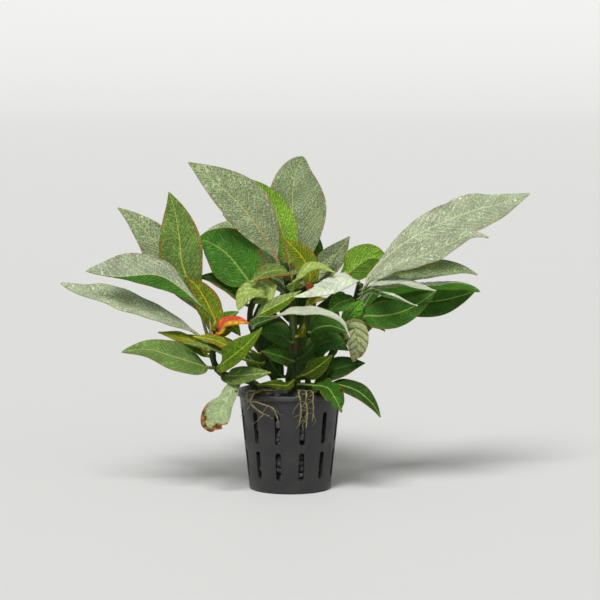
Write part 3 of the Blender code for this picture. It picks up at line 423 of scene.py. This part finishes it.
def midrib_points(leaf):
    """The leaf's midrib points, from inside its stem, over the knee where it turns, to the tip."""
    root, along = stem_place(leaf.stem, leaf.rises_at)
    reach = Vector(leaf.points[0]) - root
    out = (reach - along * reach.dot(along)).normalized()
    radius = STEMS[leaf.stem][0]
    start = root + out * radius * 0.4
    knee = root + out * (radius + KNEE) + along * KNEE * 0.25
    return [start, knee] + [Vector(p) for p in leaf.points]


def blade_share(leaf, s, side):
    """The share of the leaf's full half width at s along it: petiole, belly, then a drawn-out tip."""
    if s <= leaf.petiole:
        return 0.0
    b = (s - leaf.petiole) / (1 - leaf.petiole)
    bend = math.log(0.5) / math.log(leaf.belly)
    share = math.sin(math.pi * min(b ** bend, 1.0)) ** leaf.full
    for place, where, length, depth in leaf.bites:
        if where * side >= 0:
            share *= 1 - depth * math.exp(-((s - place) / length) ** 2)
    return share


def leaf_ring(leaf, spine, length, s, seed):
    """The points of one ring around the leaf at s: its upper side, then its under side back again.

    Each comes with its place on the leaf (mm across, mm along, 1 on the upper side) and with its
    place among the veins (count of side veins, share of the way to the margin, share of the length).
    """
    middle = smooth_curve(spine, s)
    ahead = heading(spine, s)
    face = Vector(leaf.face).lerp(Vector(leaf.face_tip), s)
    up = (face - ahead * face.dot(ahead)).normalized()
    aside = ahead.cross(up)
    along = s * length
    columns = range(-LEAF_COLUMNS, LEAF_COLUMNS + 1)
    columns = [math.copysign((abs(k) / LEAF_COLUMNS) ** 1.25, k) for k in columns]
    ring = []
    for upper in (1, 0):
        for a in columns if upper else reversed(columns):
            right = a > 0
            side = 1 if right else -1
            rim = abs(a)
            share = blade_share(leaf, s, side)
            least = PETIOLE_HALF_WIDTH * (1 - s) + TIP_HALF_WIDTH * s
            half = least + (leaf.half_width * (1 + leaf.lean * side) - least) * share
            across = a * half
            flat = 1 / math.sqrt(1 + leaf.fold[right] ** 2)

            # Side veins leave the midrib in turn, left and right, and slant towards the tip
            count = (along - 0.95 * abs(across) - 0.035 * across ** 2) / leaf.veins + (0.5 if right else 0)
            count += 0.5 * noise.noise((across * 0.06, along * 0.06, seed * 10))

            # The fold, the curl, the wavy margin and the swelling between side veins lift the blade
            swing = math.sin(along / 5.5 + seed * 3 + side) + 0.5 * math.sin(along / 2.3 + seed * 7 - side)
            swell = leaf.quilt * share * math.sin(math.pi * count) ** 2
            lift = leaf.fold[right] * rim * half * share * flat
            lift += leaf.cup[right] * share * rim ** 2 * half
            lift += leaf.wave * share * rim ** 2.2 * swing
            lift += swell * min(abs(across) / 1.5, 1) * (1 - rim ** 6)

            # The blade is thin, its midrib sunken above and raised below, and the petiole is round
            blade = min(share * 6, 1.0)
            ridge = math.exp(-(across / 0.75) ** 2) * (1 - 0.75 * s)
            thick = BLADE_THICKNESS / 2 + (-0.18 if upper else 0.55) * ridge
            stalk = PETIOLE_THICKNESS * (1 - 0.4 * s) * math.sqrt(max(1 - rim ** 2, 0)) / 2 + 0.05
            thick = thick * blade + stalk * (1 - blade)
            point = middle + aside * (across * flat) + up * (lift + (thick if upper else -thick))
            ring.append((point, (across, along, float(upper)), (count, rim, s)))
    return ring


def leaf_mesh(name, leaf, seed):
    """The leaf as a closed thin solid, with its places kept as attributes for its material."""
    spine = midrib_points(leaf)
    length = sum((b - a).length for a, b in zip(spine, spine[1:]))
    rows = max(round(length / ROW_SPACING), LEAST_ROWS)
    rings = [leaf_ring(leaf, spine, length, i / rows, seed) for i in range(rows + 1)]
    around = len(rings[0])
    spots = [spot for ring in rings for spot in ring]
    faces = [(a, d, c, b) for a, b, c, d in ring_faces(rows + 1, around)]
    for first, turn in ((0, 1), (rows * around, -1)):
        for j in range(around // 2 - 1):
            corners = (j, j + 1, around - 2 - j, around - 1 - j)
            faces.append(tuple(first + c for c in corners[::turn]))
    mesh = joined(name, [([spot[0] * MM for spot in spots], faces)], 55)
    right = range(LEAF_COLUMNS, 3 * LEAF_COLUMNS + 1)
    halves = [int(j in right) for _ in range(rows) for j in range(around)]
    mesh.polygons.foreach_set("material_index", halves + [0] * (len(faces) - len(halves)))
    keep(mesh, "leaf_place", [spot[1] for spot in spots])
    keep(mesh, "leaf_veins", [spot[2] for spot in spots])
    # The mood's middle number is the leaf's tone with its painted light and painted shadow
    keep(mesh, "leaf_mood", [(seed * 37.7, leaf.shade, leaf.blush)] * len(spots))
    keep(mesh, "leaf_wear", [(leaf.spots, leaf.burn, leaf.red)] * len(spots))
    return mesh


def turned(levels, sides):
    """Rings of points about the pot's axis, one for each (radius, height)."""
    turns = [TURN * j / sides for j in range(sides)]
    return [(radius * math.cos(turn), radius * math.sin(turn), height)
            for radius, height in levels for turn in turns]


def ring_faces(rings, around):
    """The faces between rings of points that follow each other, with that many points in each."""
    faces = []
    for start in range(0, (rings - 1) * around, around):
        for j in range(around):
            k = (j + 1) % around
            faces.append((start + j, start + k, start + around + k, start + around + j))
    return faces


def closed_faces(rings, around):
    """The faces between rings, and one across each end."""
    last = (rings - 1) * around
    ends = [tuple(range(around - 1, -1, -1)), tuple(range(last, last + around))]
    return ring_faces(rings, around) + ends


def joined(name, parts, sharp=None):
    """One smooth mesh of several lists of points and faces. Edges over sharp degrees stay sharp."""
    verts, faces = [], []
    for more_verts, more_faces in parts:
        faces += [tuple(len(verts) + c for c in face) for face in more_faces]
        verts += more_verts
    mesh = bpy.data.meshes.new(name)
    mesh.from_pydata(verts, [], faces)
    mesh.shade_smooth()
    if sharp:
        mesh.set_sharp_from_angle(angle=math.radians(sharp))
    return mesh


def keep(mesh, name, values):
    """Stores one vector for each of the mesh's points, which a material reads by its name."""
    layer = mesh.attributes.new(name, "FLOAT_VECTOR", "POINT")
    layer.data.foreach_set("vector", [x for value in values for x in value])


def placed(name, data):
    """A new object in the scene."""
    made = bpy.data.objects.new(name, data)
    bpy.context.scene.collection.objects.link(made)
    return made


def show(name, mesh, materials, node):
    """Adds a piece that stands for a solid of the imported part."""
    piece = placed(name, mesh)
    for material in materials:
        mesh.materials.append(material)
    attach(piece, "root")
    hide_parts(node)
    return piece


class Shader:
    """Short calls that add and join a material's nodes. A value is a number, a colour or a socket."""

    def __init__(self, name):
        self.material = bpy.data.materials.new(name)
        self.material.use_nodes = True
        self.tree = self.material.node_tree
        self.tree.nodes.clear()

    def put(self, socket, value):
        if isinstance(value, bpy.types.NodeSocket):
            self.tree.links.new(value, socket)
        elif isinstance(value, tuple) and len(value) == 3 and socket.type == "RGBA":
            socket.default_value = (*value, 1.0)
        else:
            socket.default_value = value

    def node(self, kind, settings=None, **inputs):
        made = self.tree.nodes.new("ShaderNode" + kind)
        for key, value in (settings or {}).items():
            setattr(made, key, value)
        for key, value in inputs.items():
            self.put(made.inputs[key.replace("_", " ")], value)
        return made

    def fill(self, node, *values):
        """Gives the node's inputs these values in their order, and returns its first output."""
        for socket, value in zip(node.inputs, values):
            self.put(socket, value)
        return node.outputs[0]

    def math(self, operation, a, b=0.0):
        return self.fill(self.node("Math", {"operation": operation}), a, b)

    def times(self, a, b):
        return self.math("MULTIPLY", a, b)

    def plus(self, a, b):
        return self.math("ADD", a, b)

    def mix(self, share, a, b, blend="MIX"):
        made = self.node("Mix", {"data_type": "RGBA", "blend_type": blend})
        self.put(made.inputs[0], share)
        self.put(made.inputs[6], a)
        self.put(made.inputs[7], b)
        return made.outputs[2]

    def ramp(self, value, low, high, start=0.0, end=1.0):
        """start where the value is under low, end where it is over high, and smooth between."""
        made = self.node("MapRange", {"interpolation_type": "SMOOTHSTEP"})
        return self.fill(made, value, low, high, start, end)

    def attribute(self, name):
        """The three numbers that the mesh keeps under that name."""
        read = self.node("Attribute", {"attribute_name": name})
        return tuple(self.node("SeparateXYZ", Vector=read.outputs["Vector"]).outputs)

    def vector(self, x, y, z):
        return self.node("CombineXYZ", X=x, Y=y, Z=z).outputs[0]

    def noise(self, place, scale, detail=3.0, rough=0.5):
        return self.node("TexNoise", Vector=place, Scale=scale, Detail=detail, Roughness=rough).outputs[0]

    def cells(self, feature, place, scale, uneven):
        made = self.node("TexVoronoi", {"feature": feature}, Vector=place, Scale=scale, Randomness=uneven)
        return made.outputs

    def finish(self, surface):
        self.node("OutputMaterial", Surface=surface)
        return self.material


def leaf_material(name, colours):
    """A leaf's skin, from the places and moods that its mesh keeps, in mm over the leaf."""
    _, upper_skin, upper_net, midrib, under_skin, under_net, furrow_shade = colours
    s = Shader(name)
    across, along, upper = s.attribute("leaf_place")
    count, rim, share = s.attribute("leaf_veins")
    seed, shade, blush = s.attribute("leaf_mood")
    spots, burn, red = s.attribute("leaf_wear")
    upper = s.math("GREATER_THAN", upper, 0.5)
    place = s.vector(across, along, seed)

    # Side veins, at every whole count, then a fine net of small veins between them, and the midrib
    saw = s.math("FRACT", count)
    near = s.math("MINIMUM", saw, s.math("SUBTRACT", 1.0, saw))
    side_vein = s.ramp(near, 0.045, 0.12, 1, 0)
    side_vein = s.times(side_vein, s.ramp(s.noise(place, 0.25, 2.0), 0.3, 0.6, 0.75, 1.0))
    coarse = s.cells("DISTANCE_TO_EDGE", place, 0.6, 0.85)["Distance"]
    fine = s.cells("DISTANCE_TO_EDGE", place, 1.3, 0.9)["Distance"]
    net = s.math("MAXIMUM", s.ramp(coarse, 0.02, 0.13, 1, 0), s.ramp(fine, 0.02, 0.16, 0.6, 0.0))
    rib_width = s.math("SUBTRACT", 0.75, s.times(share, 0.55))
    rib = s.ramp(s.math("DIVIDE", s.math("ABSOLUTE", across), rib_width), 0.45, 1.0, 1, 0)

    # The blade's own colour, patchy over a few millimetres, with painted shade beside the side veins and
    # the leaf's painted light, and the veins' colours over it
    patch = s.ramp(s.noise(place, 0.11), 0.3, 0.7, 0.84, 1.16)
    grain = s.ramp(s.noise(place, 1.4), 0.25, 0.75, 0.86, 1.12)
    # Painted shade darkens the blade in the sunken furrow beside each side vein
    grain = s.times(grain, s.ramp(near, 0.1, 0.35, furrow_shade, 1.08))
    # The leaf's shade number lays its painted light and painted shadow over the blade, with its own tone
    light = s.times(s.times(patch, grain), shade)
    # The pale upper sides of the grey and whitish looks are painted sheen from the light above
    skin = s.mix(upper, under_skin, upper_skin)
    lines = s.mix(upper, under_net, upper_net)
    net_share = s.mix(upper, (0.3, 0.3, 0.3), (0.6, 0.6, 0.6))
    colour = s.mix(s.times(net, net_share), skin, lines)
    colour = s.mix(s.times(side_vein, 0.92), colour, s.mix(0.45, lines, midrib))
    colour = s.mix(1.0, colour, s.vector(light, light, light), "MULTIPLY")
    reddened = s.times(blush, s.ramp(share, 0.15, 0.6, 1, 0))
    colour = s.mix(s.times(rib, 0.9), colour, s.mix(reddened, midrib, (0.62, 0.16, 0.12)))

    # A reddish margin that comes and goes
    edge = s.ramp(s.plus(rim, s.times(red, 0.1)), 0.85, 0.98)
    edge = s.times(edge, s.ramp(s.noise(place, 0.2, 2.0), 0.35, 0.6))
    colour = s.mix(s.times(edge, red), colour, (0.5, 0.1, 0.03))

    # Brown specks, one in each of a share of the cells of a coarse pattern
    fleck = s.cells("F1", place, 0.27, 1.0)
    chance = s.node("SeparateColor", Color=fleck["Color"]).outputs[0]
    chosen = s.math("LESS_THAN", chance, spots)
    size = s.times(chosen, s.ramp(chance, 0.0, 0.4, 0.05, 0.3))
    worn = s.plus(fleck["Distance"], s.times(s.noise(place, 1.1), 0.35))
    speck = s.ramp(s.math("SUBTRACT", worn, size), 0.05, 0.2, 1, 0)
    colour = s.mix(s.times(speck, chosen), colour, (0.13, 0.065, 0.018))

    # A burnt tip and margin, from orange to nearly black
    singe = s.plus(s.plus(share, s.times(s.noise(place, 0.35), 0.4)), s.times(rim, 0.2))
    burnt = s.times(s.ramp(singe, 1.14, 1.22), burn)
    char = s.ramp(s.noise(place, 0.6), 0.4, 0.6)
    colour = s.mix(burnt, colour, s.mix(char, (0.5, 0.2, 0.04), (0.09, 0.04, 0.015)))

    # Veins are sunken on the upper side and stand out on the under side
    relief = s.plus(s.times(side_vein, 0.7), s.times(net, 0.5))
    relief = s.times(relief, s.ramp(upper, 0.0, 1.0, 1.0, -1.0))
    relief = s.plus(relief, s.times(s.noise(place, 2.5), 0.5))
    bump = s.node("Bump", Strength=1.0, Distance=0.5 * MM, Height=relief).outputs[0]

    # Part of the light comes through the leaf, and is greener
    gloss = s.node("BsdfPrincipled", Base_Color=colour, Roughness=0.42, Normal=bump, Specular_IOR_Level=0.2)
    glow = s.node("BsdfTranslucent", Color=s.mix(0.55, colour, (0.3, 0.7, 0.04)), Normal=bump)
    return s.finish(s.fill(s.node("MixShader"), 0.3, gloss.outputs[0], glow.outputs[0]))


def plain_material(name, kind):
    """The pot, the stones, the stems and the roots, each with its own wear and grain."""
    s = Shader(name)
    spot = s.node("TexCoord").outputs["Object"]
    shine = 0.5
    if kind == "pot":
        fine = s.noise(spot, 2600)
        broad = s.noise(spot, 90, 4.0)
        dust = s.ramp(broad, 0.42, 0.75)
        colour = s.mix(s.times(dust, 0.35), (0.011, 0.011, 0.012), (0.045, 0.042, 0.036))
        rough = s.ramp(s.plus(fine, dust), 0.3, 1.3, 0.34, 0.62)
        height = s.plus(s.times(fine, 0.5), s.times(broad, 0.8))
        depth = 0.06
    elif kind == "stone":
        tone, hue, _ = s.attribute("stone_mood")
        fine = s.noise(spot, 1300, 5.0, 0.65)
        broad = s.noise(spot, 330, 4.0)
        dark = s.mix(hue, (0.012, 0.013, 0.015), (0.02, 0.018, 0.015))
        colour = s.mix(s.ramp(tone, 0.0, 1.0, 0.0, 0.75), dark, (0.075, 0.078, 0.082))
        colour = s.mix(s.times(s.ramp(fine, 0.55, 0.8), 0.4), colour, (0.16, 0.16, 0.155))
        rough = s.ramp(broad, 0.3, 0.7, 0.48, 0.8)
        height = s.plus(s.times(fine, 0.6), broad)
        depth = 0.4
    elif kind == "stem":
        long_way = s.node("Mapping", Vector=spot, Scale=(900, 900, 90)).outputs[0]
        height = s.noise(long_way, 1.0, 4.0)
        # The stems' own green, darkened further as painted shade of the leaves around them
        colour = s.mix(s.ramp(height, 0.35, 0.65), (0.014, 0.03, 0.005), (0.045, 0.078, 0.014))
        colour = s.mix(s.ramp(s.noise(spot, 120), 0.5, 0.75), colour, (0.055, 0.032, 0.012))
        rough = s.ramp(height, 0.3, 0.7, 0.6, 0.85)
        depth = 0.2
        shine = 0.2
    else:
        height = s.noise(spot, 500, 4.0)
        # The roots' own brown and tan, darkened further as painted shade of the plant over them
        colour = s.mix(s.ramp(height, 0.3, 0.7), (0.075, 0.062, 0.018), (0.22, 0.19, 0.075))
        rough = s.ramp(height, 0.3, 0.7, 0.5, 0.7)
        depth = 0.15
    bump = s.node("Bump", Strength=0.8, Distance=depth * MM, Height=height).outputs[0]
    skin = s.node("BsdfPrincipled", Base_Color=colour, Roughness=rough, Normal=bump)
    s.put(skin.inputs["Specular IOR Level"], shine)
    return s.finish(skin.outputs[0])


def tube(points, radius_at, samples, sides, seed, wander=0.0):
    """A closed round tube along the smooth curve through the points, as lists of points and faces."""
    points = [Vector(p) for p in points]
    verts = []
    across = Vector((1, 0, 0))
    for i in range(samples):
        t = i / (samples - 1)
        drift = Vector([noise.noise((t * 9, seed, k)) for k in (0, 5, 9)])
        middle = smooth_curve(points, t) + drift * wander * math.sin(math.pi * t)
        ahead = heading(points, t)
        across = (across - ahead * across.dot(ahead)).normalized()
        other = ahead.cross(across)
        radius = radius_at(t, middle)
        for j in range(sides):
            turn = TURN * j / sides
            verts.append((middle + across * math.cos(turn) * radius + other * math.sin(turn) * radius) * MM)
    return verts, closed_faces(samples, sides)


def add_stems(material):
    """Stems swell into a ring wherever a leaf leaves them, and taper towards the tip."""
    for number, (stem, (radius, points)) in enumerate(STEMS.items()):
        rings = [leaf.rises_at for leaf in [*LEAVES.values(), *LEAFLETS] if leaf.stem == stem]

        def radius_at(t, middle):
            swell = sum(math.exp(-((middle.z - ring) / 1.1) ** 2) for ring in rings)
            return radius * (1.0 - 0.18 * t + 0.14 * min(swell, 1.0))

        name = f"stem_{stem}_skin"
        mesh = joined(name, [tube(points, radius_at, 90, 20, number)], 50)
        show(name, mesh, [material], "stem_" + stem)


def add_roots(material):
    """Each strand thins towards its end, and fine side roots leave it."""
    rng = random.Random(5)
    for name, (crown, strands) in ROOTS.items():
        parts = []
        for number, strand in enumerate(strands):
            points = [crown] + strand
            parts.append(tube(points, lambda t, _: 0.62 * (1 - 0.55 * t), 60, 10, number * 3.1, 0.5))
            line = [Vector(p) for p in points]
            for _ in range(SIDE_ROOTS):
                start = smooth_curve(line, rng.uniform(0.45, 0.95))
                reach = Vector((rng.uniform(-6, 6), rng.uniform(-0.6, 1.2), rng.uniform(-7, -1)))
                middle = start + reach * 0.5 + Vector((rng.uniform(-1.5, 1.5), -0.4, rng.uniform(-1, 1)))
                end = start + reach
                end.y = max(end.y, start.y - 0.4)
                way = [start, middle, end]
                parts.append(tube(way, lambda t, _: 0.2 * (1 - 0.6 * t), 14, 6, rng.random() * 9, 0.6))
        show(name + "_strands", joined(name + "_strands", parts, 50), [material], name)


def pebble(rng):
    """A small chipped stone, lying on its flat side, as points of about unit radius and faces."""
    shape = bmesh.new()
    bmesh.ops.create_icosphere(shape, subdivisions=3, radius=1.0)
    shift = Vector([rng.uniform(-50, 50) for _ in range(3)])
    chips = [noise.random_unit_vector() for _ in range(STONE_CHIPS)]
    for corner in shape.verts:
        for chip in chips:
            corner.co -= chip * max(corner.co.dot(chip) - 0.74, 0)
        lump = noise.noise(corner.co * 0.9 + shift) * 0.25 + noise.noise(corner.co * 3.1 + shift) * 0.12
        corner.co *= 1.12 + lump
        corner.co.z *= 0.68
        corner.co.x *= 1.12
    verts = [corner.co.copy() for corner in shape.verts]
    faces = [tuple(corner.index for corner in face.verts) for face in shape.faces]
    shape.free()
    return verts, faces


def stone_places(rng):
    """Where the stones lie and their size: a heap at the top, then those behind the pot's wall."""
    stems = [(points[0], radius) for radius, points in STEMS.values()]
    places = []

    def try_place(turn, radius, z, size, room):
        """Takes the place if it is free of stems and of other stones. They may overlap where room < 1."""
        x, y = radius * math.cos(turn), radius * math.sin(turn)
        for ox, oy, oz, other in places:
            if (x - ox) ** 2 + (y - oy) ** 2 + ((z - oz) * 1.4) ** 2 < (room * (size + other)) ** 2:
                return
        for foot, thick in stems:
            if math.hypot(x - foot[0], y - foot[1]) < thick + size * 0.75 and z > foot[2]:
                return
        places.append((x, y, z, size))

    for _ in range(HEAP_TRIES):
        turn, reach = rng.uniform(0, TURN), math.sqrt(rng.random())
        size = rng.uniform(1.7, 2.9)
        radius = reach * (POT_TOP_RADIUS - POT_WALL - size - 0.2)
        heap = GRAVEL_TOP + GRAVEL_HEAP * (1 - reach ** 2) - size * 0.55
        try_place(turn, radius, heap - rng.choice((0.0, 0.0, 2.6)), size, 0.78)
    slope = (POT_TOP_RADIUS - POT_BASE_RADIUS) / POT_HEIGHT
    for _ in range(WALL_TRIES):
        turn, height = rng.uniform(0, TURN), rng.uniform(4.5, 43)
        size = rng.uniform(1.6, 2.6)
        try_place(turn, POT_BASE_RADIUS + slope * height - POT_WALL - size - 0.1, height, size, 0.8)
    return places


def add_gravel(material):
    """Loose stones over a dark core. Those behind the wall turn their flat side to it."""
    rng = random.Random(11)
    noise.seed_set(3)
    shapes = [pebble(rng) for _ in range(STONE_SHAPES)]
    parts, moods = [], []
    for x, y, z, size in stone_places(rng):
        verts, faces = rng.choice(shapes)
        pose = Matrix.Rotation(rng.uniform(0, 6.28), 3, "Z") @ Matrix.Rotation(rng.gauss(0, 0.35), 3, "X")
        if z < 43.5 and math.hypot(x, y) > 14:
            pose = Matrix.Rotation(math.atan2(y, x), 3, "Z") @ Matrix.Rotation(1.35, 3, "Y") @ pose
        moods += [(rng.random() ** 2, rng.random(), rng.random())] * len(verts)
        parts.append(([(Vector((x, y, z)) + pose @ (v * size)) * MM for v in verts], faces))
    core = gravel_core()
    moods += [(0.0, 0.5, 0.5)] * len(core[0])
    mesh = joined("stones", parts + [core])
    keep(mesh, "stone_mood", moods)
    show("stones", mesh, [material], "gravel")


def gravel_core():
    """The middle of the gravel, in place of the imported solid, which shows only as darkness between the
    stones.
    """
    sides = 48
    low, high = (radius - POT_WALL - 3.2 for radius in (POT_BASE_RADIUS, POT_TOP_RADIUS))
    bottom = POT_FLOOR + 0.4
    levels = [(0.2, bottom), (low, bottom), (high, GRAVEL_TOP - 4.2), (0.2, GRAVEL_TOP - 2.4)]
    return [Vector(p) * MM for p in turned(levels, sides)], closed_faces(len(levels), sides)


def slot_cutter(shape, size, place, angle, through):
    """Adds one slot to the cutter's shape, with ends rounded about the axis that it goes through."""
    before = set(shape.verts)
    made = bmesh.ops.create_cube(shape, size=1)["verts"]
    for corner in made:
        corner.co *= Vector(size) * MM
    edges = [e for e in {e for v in made for e in v.link_edges}
             if abs((e.verts[0].co - e.verts[1].co).normalized()[through]) > 0.9]
    rounding = SLOT_WIDTH * 0.46 * MM
    bmesh.ops.bevel(shape, geom=edges, offset=rounding, segments=5, profile=0.5, affect="EDGES")
    for corner in shape.verts:
        if corner not in before:
            corner.co = Matrix.Rotation(angle, 3, "Z") @ (corner.co + Vector(place) * MM)


def add_pot(material):
    """The pot turned finely, with round-ended slots and softened edges."""
    base, outer, rim = POT_BASE_RADIUS, POT_TOP_RADIUS, POT_RIM_RADIUS
    top, under_rim = POT_HEIGHT, POT_HEIGHT - POT_RIM_DEPTH
    profile = [
        (outer - POT_WALL, top - 0.5), (outer - POT_WALL + 0.4, top), (rim - 0.8, top),
        (rim - 0.25, top - 0.25), (rim, top - 0.8), (rim, under_rim + 0.4), (rim - 0.3, under_rim),
        (outer + 0.2, under_rim), (outer - 0.15, under_rim - 0.4),
        (base + 0.5, 1.2), (base + 0.1, 0.4), (base - 0.7, 0), (0, 0), (0, POT_FLOOR),
        (base - POT_WALL - 0.8, POT_FLOOR), (base - POT_WALL, POT_FLOOR + 0.8),
    ]
    mesh = bpy.data.meshes.new("pot_skin")
    edges = [(i, (i + 1) % len(profile)) for i in range(len(profile))]
    edges = [(i, k) for i, k in edges if profile[i][0] + profile[k][0] > 0]
    mesh.from_pydata([(r * MM, 0, z * MM) for r, z in profile], edges, [])
    pot = show("pot_skin", mesh, [material], "pot")
    screw = pot.modifiers.new("turn", "SCREW")
    screw.steps = screw.render_steps = 96
    screw.use_merge_vertices = True
    screw.merge_threshold = 1e-5
    shape = bmesh.new()
    for low, high in SLOT_ROWS:
        size, place = (SLOT_REACH, SLOT_WIDTH, high - low), (base + 2, 0, (low + high) / 2)
        for i in range(POT_SLOTS):
            slot_cutter(shape, size, place, TURN * (i + 0.5) / POT_SLOTS, 0)
    near, far = FLOOR_SLOT_SPAN
    size, place = (far - near, SLOT_WIDTH, POT_FLOOR * 3), ((near + far) / 2, 0, POT_FLOOR / 2)
    for i in range(FLOOR_SLOTS):
        slot_cutter(shape, size, place, TURN * i / FLOOR_SLOTS, 2)
    mesh = bpy.data.meshes.new("pot_slots")
    shape.to_mesh(mesh)
    shape.free()
    cutter = placed("pot_slots", mesh)
    slots = pot.modifiers.new("slots", "BOOLEAN")
    slots.operation = "DIFFERENCE"
    slots.solver = "MANIFOLD"
    slots.object = cutter
    bpy.context.view_layer.update()
    done = bpy.data.meshes.new_from_object(pot.evaluated_get(bpy.context.evaluated_depsgraph_get()))
    pot.modifiers.clear()
    pot.data = done
    done.shade_smooth()
    done.set_sharp_from_angle(angle=math.radians(35))
    bpy.data.objects.remove(cutter)


def add_leaves():
    """Every leaf, then the leaflets, each of which stands for a part of its stem's solid."""
    materials = {look: leaf_material("leaf_" + look, colours) for look, colours in LOOKS.items()}

    def add(name, leaf, seed, node):
        halves = [materials[look] for look in leaf.looks]
        show(name, leaf_mesh(name, leaf, seed % 1), halves, node)

    for number, (name, leaf) in enumerate(LEAVES.items()):
        add(f"leaf_{name}_blade", leaf, number * GOLDEN, "leaf_" + name)
    for stem in dict.fromkeys(leaf.stem for leaf in LEAFLETS):
        for number, leaf in enumerate(leaf for leaf in LEAFLETS if leaf.stem == stem):
            add(f"stem_{stem}_leaflet_{number + 1}", leaf, number * GOLDEN + 0.3, "stem_" + stem)


def add_studio():
    """A pale floor that curves up far away, a soft light overhead, a weak one in front, and the camera."""
    sides = 96
    first, last = FLOOR_RINGS[0], FLOOR_RINGS[-1]
    levels = [(radius, FLOOR_RISE * ((radius - first) / (last - first)) ** 2) for radius in FLOOR_RINGS]
    faces = [tuple(range(sides))] + [(a, d, c, b) for a, b, c, d in ring_faces(len(levels), sides)]
    floor = placed("floor", joined("floor", [(turned(levels, sides), faces)]))
    s = Shader("floor")
    skin = s.node("BsdfPrincipled", Base_Color=(0.62, 0.62, 0.61), Roughness=0.7)
    floor.data.materials.append(s.finish(skin.outputs[0]))
    world = bpy.data.worlds.new("studio")
    world.use_nodes = True
    sky, strength = world.node_tree.nodes["Background"].inputs[:2]
    sky.default_value = (0.85, 0.85, 0.82, 1)
    strength.default_value = 0.32
    bpy.context.scene.world = world
    bpy.context.scene.view_settings.view_transform = "Standard"
    add_sun("overhead", (-0.2, -0.8, 1.0), 24, 3.6)
    add_sun("front", (0.5, -1.0, 0.35), 60, 0.5)
    rise = math.radians(CAMERA_RISE)
    ahead = Vector((0, math.cos(rise), -math.sin(rise)))
    lens = bpy.data.cameras.new("camera")
    lens.sensor_width = 36
    lens.lens = lens.sensor_width * CAMERA_DISTANCE / CAMERA_WIDTH
    camera = placed("camera", lens)
    camera.location = Vector(CAMERA_AIM) * MM - ahead * (CAMERA_DISTANCE * MM)
    camera.rotation_euler = ahead.to_track_quat("-Z", "Y").to_euler()
    bpy.context.scene.camera = camera


def add_sun(name, place, spread, power):
    """A far soft light that shines from that side. spread is how wide it looks, in degrees."""
    lamp = bpy.data.lights.new(name, "SUN")
    lamp.angle = math.radians(spread)
    lamp.energy = power
    light = placed(name, lamp)
    light.rotation_euler = (-Vector(place)).to_track_quat("-Z", "Y").to_euler()


def main():
    add_studio()
    add_leaves()
    add_stems(plain_material("stem_skin", "stem"))
    add_roots(plain_material("root_skin", "root"))
    add_gravel(plain_material("stone_skin", "stone"))
    add_pot(plain_material("pot_skin", "pot"))


main()
